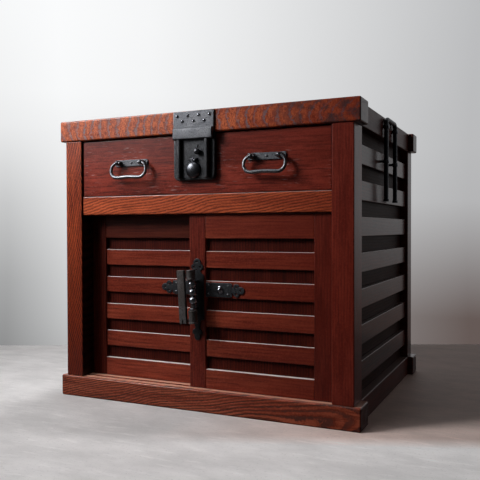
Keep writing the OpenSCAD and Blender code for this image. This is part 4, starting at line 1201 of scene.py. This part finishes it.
def stile_plate_outline():
    """Outline of the plate on the stile, about the straps' middle."""
    leaf = [(4.6, 0), (6, 1.2), (9.4, 3), (11.2, 6.4), (10.6, 10), (8.2, 11.8), (6.4, 12.8), (7, 15),
            (6.4, 17.8), (4.6, 20.4), (2, 22.2), (0, 22.6)]
    half = [(0.9 * x, -70.4 - z) for x, z in reversed(leaf)]
    half += [(5.4, -66), (6, -59), (9, -55.6), (13.2, -55), (14, -54.2), (14, -20)]
    half += [(13.2, -17), (14, -14), (14, 14), (13.2, 17), (14, 20), (14, 24), (12.6, 27), (9.4, 28.4)]
    half += [(8, 30.4), (7.2, 32.6)] + [(1.12 * x, 33.4 + z) for x, z in leaf[1:]]
    return half + [(-x, z) for x, z in reversed(half) if x > 1e-6]


class CHEST_OT_straps(bpy.types.Operator):
    """Models the doors' straps with their nails, the stud and the plate on the stile"""

    bl_idname = "chest.straps"
    bl_label = "Straps and plate"

    def execute(self, context):
        soft = context.scene.chest_iron.soft_edge
        end = 14.5
        holes = [ring(69, 0, 1.6), ring(61.2, 6, 1.6), ring(61.2, -6, 1.6)]
        strap = flat_plate("right_strap", [strap_outline(), *holes], 2, 14, soft,
                           (end, STRAP_HEIGHT))
        nail = turned("first_nail", dome_profile(2.2, 1.2, 0.3), at(0, 14, 0), "FRONT", 16)
        nails = []
        for i, (x, z) in enumerate(((6, -8), (6, 8), (45, -8), (45, 8))):
            shift = ((end + x) / 1000, 0, (STRAP_HEIGHT + z) / 1000)
            nails.append(copy_of(nail, f"right_strap_nail_{i + 1}", shift=shift))
        bpy.data.objects.remove(nail)
        back = (0, 0.022, 0)
        other = copy_of(strap, "left_strap", shift=back, mirrored=True)
        for i, piece in enumerate(nails):
            mirror = copy_of(piece, f"left_strap_nail_{i + 1}", shift=back, mirrored=True)
            place_piece(mirror, "left_door", "bright_iron", "left_strap_nails")
            place_piece(piece, "right_door", "bright_iron", "right_strap_nails")
        place_piece(strap, "right_door", "strap_iron", "right_door_strap")
        place_piece(other, "left_door", "strap_iron", "left_door_strap")
        profile = [(0, 0), (7, 0), (7, 0.7), (6.2, 1.1)] + dome_profile(5.9, 5.25, 0.9)[2:]
        stud = turned("strap_boss", profile, at(43.5, 14, STRAP_HEIGHT), "FRONT")
        place_piece(stud, "right_door", "bead_iron", "strap_stud")
        holes = [ring(6.8, 40.4, 1.7), ring(-6.8, 40.4, 1.7), ring(0, 50, 1.6), ring(0, 36, 1.1)]
        plate = flat_plate("meeting_plate", [stile_plate_outline(), *holes], 2, 12, soft,
                           (-2, STRAP_HEIGHT))
        place_piece(plate, "right_door", "dark_iron", "stile_plate")
        return {"FINISHED"}


def lean(piece):
    """Moves a piece from the padlock's own axis to its leaning place on the door."""
    piece.rotation_euler = (0, -LOCK_LEAN, 0)
    piece.location = at(-2, -10, LOCK_HEIGHT)
    return apply_place(piece)


class CHEST_OT_staple(bpy.types.Operator):
    """Models the staple with its three beads and two eyes"""

    bl_idname = "chest.staple"
    bl_label = "Beaded staple"

    def execute(self, context):
        profile = [(0, 0), (3.4, 0), (4, 0.6), (4, 52), (3.4, 52.6), (0, 52.6)]
        parts = [turned("bead_post", profile, at(-2, 3, 185), "UP")]
        bead_radius = 7.8
        outline = [(bead_radius * math.sin(a), bead_radius - bead_radius * math.cos(a))
                   for a in [math.pi * i / 16 for i in range(17)]]
        first = turned("bead", outline, at(-1, -7.5, 0), "UP", 32)
        bore = turned("bore_cutter", [(0, -60), (2, -60), (2, 10), (0, 10)], Vector((0, 0, 0)), "UP", 24)
        lean(bore)
        for i, centre in enumerate((230.5, 216.2, 201.9)):
            beside = (LOCK_HEIGHT - centre) * math.tan(LOCK_LEAN)
            shift = Vector((beside, 0, centre - bead_radius)) / 1000
            bead = copy_of(first, f"bead_{i + 1}", shift=shift)
            cut_out(bead, copy_of(bore, f"bore_{i + 1}"))
            parts.append(bead)
        bpy.data.objects.remove(first)
        bpy.data.objects.remove(bore)
        for top, shift in ((237.7, 0.0), (187.7, 3.06)):
            eye = turned("eye", [(2.6, 0), (6, 0), (6.5, 0.5), (6.5, 2.2), (6, 2.7), (2.6, 2.7), (2.6, 0)],
                         at(-2 + shift, -10, top - 2.7), "UP")
            arm = block("arm", span((-6, -5.4, top - 2.7), (2, 12, top)))
            round_arrises(arm, 0.0006, 2)
            parts += [eye, arm]
        staple = join("beaded_staple", *parts)
        place_piece(staple, "right_door", "bead_iron", "door_staple")
        return {"FINISHED"}


def box_mm(name, low, high):
    """A squared piece between two corners in millimetres, about the padlock's own axis."""
    return block(name, (Vector(low) / 1000, Vector(high) / 1000))


def tube(name, foot, tall, hole):
    """A tube on the padlock's own axis, with a collar at each end and a hole if it has one."""
    profile = [(hole, 0), (7.7, 0), (8.5, 0.8), (8.5, 2.4), (8.0, 2.9), (8.0, tall - 2.9),
               (8.5, tall - 2.4), (8.5, tall - 0.8), (7.7, tall), (hole, tall)]
    if hole:
        profile.append((hole, 0))
    return turned(name, profile, Vector((0, 0, foot / 1000)), "UP")


class CHEST_OT_padlock(bpy.types.Operator):
    """Models the padlock: flat bar and lower tube, and the shackle with the upper tube"""

    bl_idname = "chest.padlock"
    bl_label = "Padlock"

    def execute(self, context):
        bar = box_mm("bar", (-27.05, -3.5, -76.05), (-12.55, 3.5, 20.05))
        round_arrises(bar, 0.0014, 2)
        cut_out(bar, box_mm("keyway_cutter", (-21.3, -4.5, -77), (-18.3, -1.5, -68)))
        link = box_mm("link", (-19.8, 1, -74.05), (-1, 3.5, -68.05))
        round_arrises(link, 0.0006, 2)
        case = join("padlock_body", bar, link, tube("lower_tube", -76.05, 24, 2.6))
        lean(case)
        place_piece(case, "padlock_case", "brown_iron", "padlock_case")

        path = [Vector((0, 0, z / 1000)) for z in (-67.05, -66, -40, -20, 3)]
        bar = rod("rod", path, [0.0012, 0.0016, 0.0016, 0.0016, 0.0016], 12)
        link = box_mm("link", (-19.8, 4, 7.05), (-1, 6.5, 13.05))
        round_arrises(link, 0.0006, 2)
        shackle = join("shackle", bar, link, tube("upper_tube", 2.05, 18, 0))
        lean(shackle)
        place_piece(shackle, "padlock_shackle", "brown_iron", "padlock_shackle")
        return {"FINISHED"}


class CHEST_OT_carrying_bars(bpy.types.Operator):
    """Models the carrying bars of both sides and the staples that hold them"""

    bl_idname = "chest.carrying_bars"
    bl_label = "Carrying bars"

    def execute(self, context):
        beside, depth = 297.1, 253
        half = [(40, 381), (40, 385.6), (40, 386.4), (40, 400), (40, 457), (40, 526)]
        half += [(29 + y, z) for y, z in arc(0, 526, 11, 15, 90, 6)]
        flared, plain = 0.0054, 0.0043
        radii = [flared] * 2 + [plain] * 10
        path = half + [(-y, z) for y, z in reversed(half)]
        bar = rod("right_bar", [at(beside, depth + y, z) for y, z in path],
                  radii + list(reversed(radii)), 14)
        other = copy_of(bar, "left_bar", mirrored=True)
        for side, piece in (("right", bar), ("left", other)):
            place_piece(piece, f"{side}_carrying_bar", "strap_iron", f"{side}_carrying_bar", angle=50)
        staples = []
        ring_profile = [(4.4, -2.8), (4.8, -3.4), (5.3, -3.4), (5.9, -2.6), (5.9, 2.6), (5.3, 3.4),
                        (4.8, 3.4), (4.4, 2.8), (4.4, -2.8)]
        for end, y in (("front", depth - 40), ("rear", depth + 40)):
            for level, z, wood in (("upper", 522.7, 291.5), ("lower", 457, 285.5)):
                eye = turned("eye", ring_profile, at(beside, y, z), "UP", 24)
                shank = block("shank", span((wood, y - 2.6, z - 2.4), (293.4, y + 2.6, z + 2.4)))
                round_arrises(shank, 0.0008, 2)
                staples.append(join(f"right_{end}_{level}_staple", eye, shank))
        for piece in staples:
            other = copy_of(piece, piece.name.replace("right", "left"), mirrored=True)
            for made in (piece, other):
                place_piece(made, "carcase", "bright_iron", "carrying_bar_staples")
        return {"FINISHED"}


# Stage

CAMERA_PLACE = Vector((0.56773, -1.27216, 0.32908))
CAMERA_LENS = 48.97

# How far the camera looks to the left, down and aslant, in radians
CAMERA_TURN = [math.radians(a) for a in (24.918, 0.957, -0.136)]

# Side of the floor in metres, and how far ahead of the camera it ends
FLOOR_SIDE = 8
FLOOR_END = 1.852

# The floor is in front of the chest, out of its shadow, where its Y is less than the slope times its X plus
# the shift
FRONT_SLOPE, FRONT_SHIFT = 0.376, -0.376


def area_lamp(name, place, aim, power, size, spread=180):
    """A lamp as wide and high as size, throwing its light within an angle of spread degrees."""
    lamp = bpy.data.lights.new(name, "AREA")
    lamp.shape = "RECTANGLE"
    lamp.size, lamp.size_y = size
    lamp.spread = math.radians(spread)
    lamp.energy = power
    made = bpy.data.objects.new(name, lamp)
    bpy.context.scene.collection.objects.link(made)
    made.location = place
    made.rotation_euler = (Vector(aim) - Vector(place)).to_track_quat("-Z", "Y").to_euler()
    made.visible_camera = False
    return made


def floor_material(tint):
    """Pale floor like smoothed cement, with clouds, trowel marks and specks, with painted light where the
    camera sees it out of the chest's shadow, and a painted warm shade in that shadow.
    """
    material, tree, shader, where = new_material("pale_floor")
    cloud = noise_at(tree, where, (9, 16, 1), 5.0, 0.62)
    marks = noise_at(tree, where, (16, 70, 1), 4.0, 0.6)
    specks = noise_at(tree, where, 240.0, 2.0, 0.6)
    base = mix(tree, ramp(tree, cloud, (0.36, 0.0), (0.62, 0.6)), tint, tinted(tint, 0.72))
    trowelled = [min(1, c) for c in tinted(tint, 1.25)]
    base = mix(tree, ramp(tree, marks, (0.55, 0.0), (0.7, 0.4)), base, trowelled)
    base = mix(tree, ramp(tree, specks, (0.3, 0.5), (0.4, 0.0)), base, tinted(tint, 0.62))
    parts = add_node(tree, "ShaderNodeSeparateXYZ", {0: where}).outputs
    beyond = math_node(tree, "MULTIPLY_ADD", parts["X"], -FRONT_SLOPE, parts["Y"])
    ahead = place_ramp(
        tree, beyond, (FRONT_SHIFT - 0.05, 1.0), (FRONT_SHIFT, 0.0), start=FRONT_SHIFT - 0.5)

    # Painted warm shade: warmer towards the right, beside and behind the chest, where its shadow falls
    far_right = times(tree, math_node(tree, "SUBTRACT", 1.0, ahead),
                      place_ramp(tree, parts["X"], (0.0, 0.0), (0.3, 1.0)))
    base = mix(tree, far_right, base, mix(tree, 1.0, base, (1.4, 1.13, 1.03), "MULTIPLY"))

    # Dark to all but the camera, so that it throws little light back onto the chest
    seen = tree.nodes.new("ShaderNodeLightPath").outputs["Is Camera Ray"]
    tree.links.new(mix(tree, seen, (0.12, 0.105, 0.1), base), shader.inputs["Base Color"])

    # Painted light, for the camera only: a glow at the left and in front of the chest, there more so towards
    # the right, kept off the chest's shadow
    leftward = place_ramp(tree, parts["X"], (-0.38, 0.76), (-0.3, 0.0), start=-0.8)
    leftward = times(tree, leftward, math_node(tree, "MULTIPLY_ADD", ahead, -0.6, 1.0))
    painted_rightward = times(tree, ahead, place_ramp(tree, parts["X"], (-0.2, 0.29), (0.3, 0.8)))
    glow = times(tree, math_node(tree, "MAXIMUM", leftward, painted_rightward), seen)
    tree.links.new(base, shader.inputs["Emission Color"])
    tree.links.new(times(tree, glow, 0.46), shader.inputs["Emission Strength"])
    shader.inputs["Roughness"].default_value = 0.6
    shader.inputs["Specular IOR Level"].default_value = 0.3
    return material


def studio_world(fill):
    """Even light from all round, and a pale wall where the picture or a reflection looks."""
    world = bpy.data.worlds.new("studio")
    bpy.context.scene.world = world
    world.use_nodes = True
    tree = world.node_tree
    tree.nodes.clear()
    toward = tree.nodes.new("ShaderNodeTexCoord").outputs["Generated"]
    parts = add_node(tree, "ShaderNodeSeparateXYZ", {0: toward}).outputs
    yaw = CAMERA_TURN[0]
    across = add_node(tree, "ShaderNodeVectorMath", {0: toward, 1: (math.cos(yaw), math.sin(yaw), 0)},
                      operation="DOT_PRODUCT").outputs["Value"]

    # The wall by its height, at the picture's left edge, left of the chest and right of it, with painted
    # light and shade: brightest at the top left, darker to the right and downwards, with a painted shadow of
    # the chest low at the right
    up = math_node(tree, "ADD", parts["Z"], 0.5)
    edge = ramp(tree, up, (0.33, 0.27), (0.43, 0.39), (0.54, 0.585), (0.65, 0.84), (0.7, 0.895),
                (0.8, 0.94))
    left = ramp(tree, up, (0.33, 0.47), (0.37, 0.54), (0.48, 0.68), (0.6, 0.85), (0.7, 0.955),
                (0.8, 0.975))
    right = mix(tree, ramp(tree, up, (0.37, 0.0), (0.43, 0.28), (0.54, 0.87), (0.62, 0.96), (0.8, 1.0)),
                (0.13, 0.1, 0.092), (0.505, 0.51, 0.52))
    across = math_node(tree, "ADD", across, 0.5)
    left = mix(tree, ramp(tree, across, (0.165, 0.0), (0.245, 1.0)), edge, left)
    left = mix(tree, 1.0, left, (0.985, 0.993, 1.0), "MULTIPLY")
    wall = mix(tree, ramp(tree, across, (0.245, 0.0), (0.372, 0.093), (0.514, 0.345), (0.655, 0.634),
                          (0.828, 1.0)), left, right)
    behind = ramp(tree, math_node(tree, "MULTIPLY_ADD", parts["Y"], 0.5, 0.5),
                  (0.45, 0.04), (0.62, 1.0))

    # The picture and the reflections show the wall, all else gets the even light
    path = tree.nodes.new("ShaderNodeLightPath").outputs
    seen = add_node(tree, "ShaderNodeBackground", {"Color": wall, "Strength": 1.0})
    mirrored = add_node(tree, "ShaderNodeBackground", {"Color": wall, "Strength": behind})
    plain = add_node(tree, "ShaderNodeBackground", {"Color": (1, 0.93, 0.88, 1), "Strength": fill})
    glossy = math_node(tree, "MAXIMUM", path["Is Glossy Ray"], path["Is Transmission Ray"])
    unseen = add_node(
        tree, "ShaderNodeMixShader", {0: glossy, 1: plain.outputs[0], 2: mirrored.outputs[0]})
    both = add_node(
        tree, "ShaderNodeMixShader",
        {0: path["Is Camera Ray"], 1: unseen.outputs[0], 2: seen.outputs[0]})
    output = tree.nodes.new("ShaderNodeOutputWorld")
    tree.links.new(both.outputs[0], output.inputs[0])


class CHEST_OT_stage(bpy.types.Operator):
    """Sets the floor, the lamps, the wall's light and the camera"""

    bl_idname = "chest.stage"
    bl_label = "Stage"

    def execute(self, context):
        settings = context.scene.chest_stage
        yaw, down, roll = CAMERA_TURN
        ahead = Vector(
            (-math.sin(yaw) * math.cos(down), math.cos(yaw) * math.cos(down), -math.sin(down)))
        right = Vector((math.cos(yaw), math.sin(yaw), 0))
        up = right.cross(ahead)
        side = right * math.cos(roll) + up * math.sin(roll)
        top = up * math.cos(roll) - right * math.sin(roll)
        lens = bpy.data.cameras.new("picture_camera")
        lens.lens = CAMERA_LENS
        lens.sensor_width = 36
        camera = bpy.data.objects.new("picture_camera", lens)
        context.scene.collection.objects.link(camera)
        turn = Matrix((side, top, -ahead)).transposed().to_4x4()
        camera.matrix_world = Matrix.Translation(CAMERA_PLACE) @ turn
        context.scene.camera = camera

        along = Vector((-math.sin(yaw), math.cos(yaw), 0))
        below = Vector((CAMERA_PLACE.x, CAMERA_PLACE.y, 0))
        centre = below + along * (FLOOR_END - FLOOR_SIDE / 2)
        put_down()
        bpy.ops.mesh.primitive_plane_add(size=FLOOR_SIDE, location=centre, rotation=(0, 0, yaw))
        floor = apply_place(context.object)
        floor.name = "floor"
        floor.data.materials.append(floor_material(settings.floor))

        area_lamp("main_lamp", (-1.05, -1.1, 1.25), (-0.3, -0.24, 0.72), settings.key_power,
                  (0.6, 0.6), 66)
        area_lamp("top_lamp", (-0.3, -0.75, 1.4), (-0.25, -0.7, 0), settings.top_power, (0.8, 0.4), 70)
        panel = area_lamp("soft_panel", (-1.3, -1.4, 1.2), (-0.1, -0.2, 0.7), settings.panel_power,
                          (1.2, 1.2))
        panel.visible_diffuse = False
        studio_world(settings.fill)
        context.scene.view_settings.view_transform = "Standard"
        return {"FINISHED"}


class CHEST_PT_panel(bpy.types.Panel):
    """Shows the chest's settings and a button for each step"""

    bl_idname = "CHEST_PT_panel"
    bl_label = "Merchant chest"
    bl_space_type = "VIEW_3D"
    bl_region_type = "UI"
    bl_category = "Chest"

    def draw(self, context):
        layout = self.layout
        for label, group in (
            ("Wood", context.scene.chest_wood),
            ("Iron", context.scene.chest_iron),
            ("Stage", context.scene.chest_stage),
        ):
            box = layout.box()
            box.label(text=label)
            for name in group.__annotations__:
                box.prop(group, name)
        for step in STEPS:
            layout.operator(step.bl_idname)


STEPS = (
    CHEST_OT_materials,
    CHEST_OT_beams,
    CHEST_OT_posts,
    CHEST_OT_rails,
    CHEST_OT_side_slats,
    CHEST_OT_boards,
    CHEST_OT_drawer_front,
    CHEST_OT_doors,
    CHEST_OT_keeper,
    CHEST_OT_lock_case,
    CHEST_OT_bolt,
    CHEST_OT_keyhole_cover,
    CHEST_OT_bails,
    CHEST_OT_straps,
    CHEST_OT_staple,
    CHEST_OT_padlock,
    CHEST_OT_carrying_bars,
    CHEST_OT_stage,
)
CLASSES = (ChestWoodSettings, ChestIronSettings, ChestStageSettings, *STEPS, CHEST_PT_panel)


def register():
    """Registers the settings, the operators and the panel."""
    for made in CLASSES:
        bpy.utils.register_class(made)
    bpy.types.Scene.chest_wood = PointerProperty(type=ChestWoodSettings)
    bpy.types.Scene.chest_iron = PointerProperty(type=ChestIronSettings)
    bpy.types.Scene.chest_stage = PointerProperty(type=ChestStageSettings)


def unregister():
    """Takes them away again."""
    del bpy.types.Scene.chest_wood
    del bpy.types.Scene.chest_iron
    del bpy.types.Scene.chest_stage
    for made in reversed(CLASSES):
        bpy.utils.unregister_class(made)


def main():
    """Models the chest step by step."""
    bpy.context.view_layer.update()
    register()
    for step in STEPS:
        family, name = step.bl_idname.split(".")
        getattr(getattr(bpy.ops, family), name)()
    put_down()


if __name__ == "__main__":
    main()
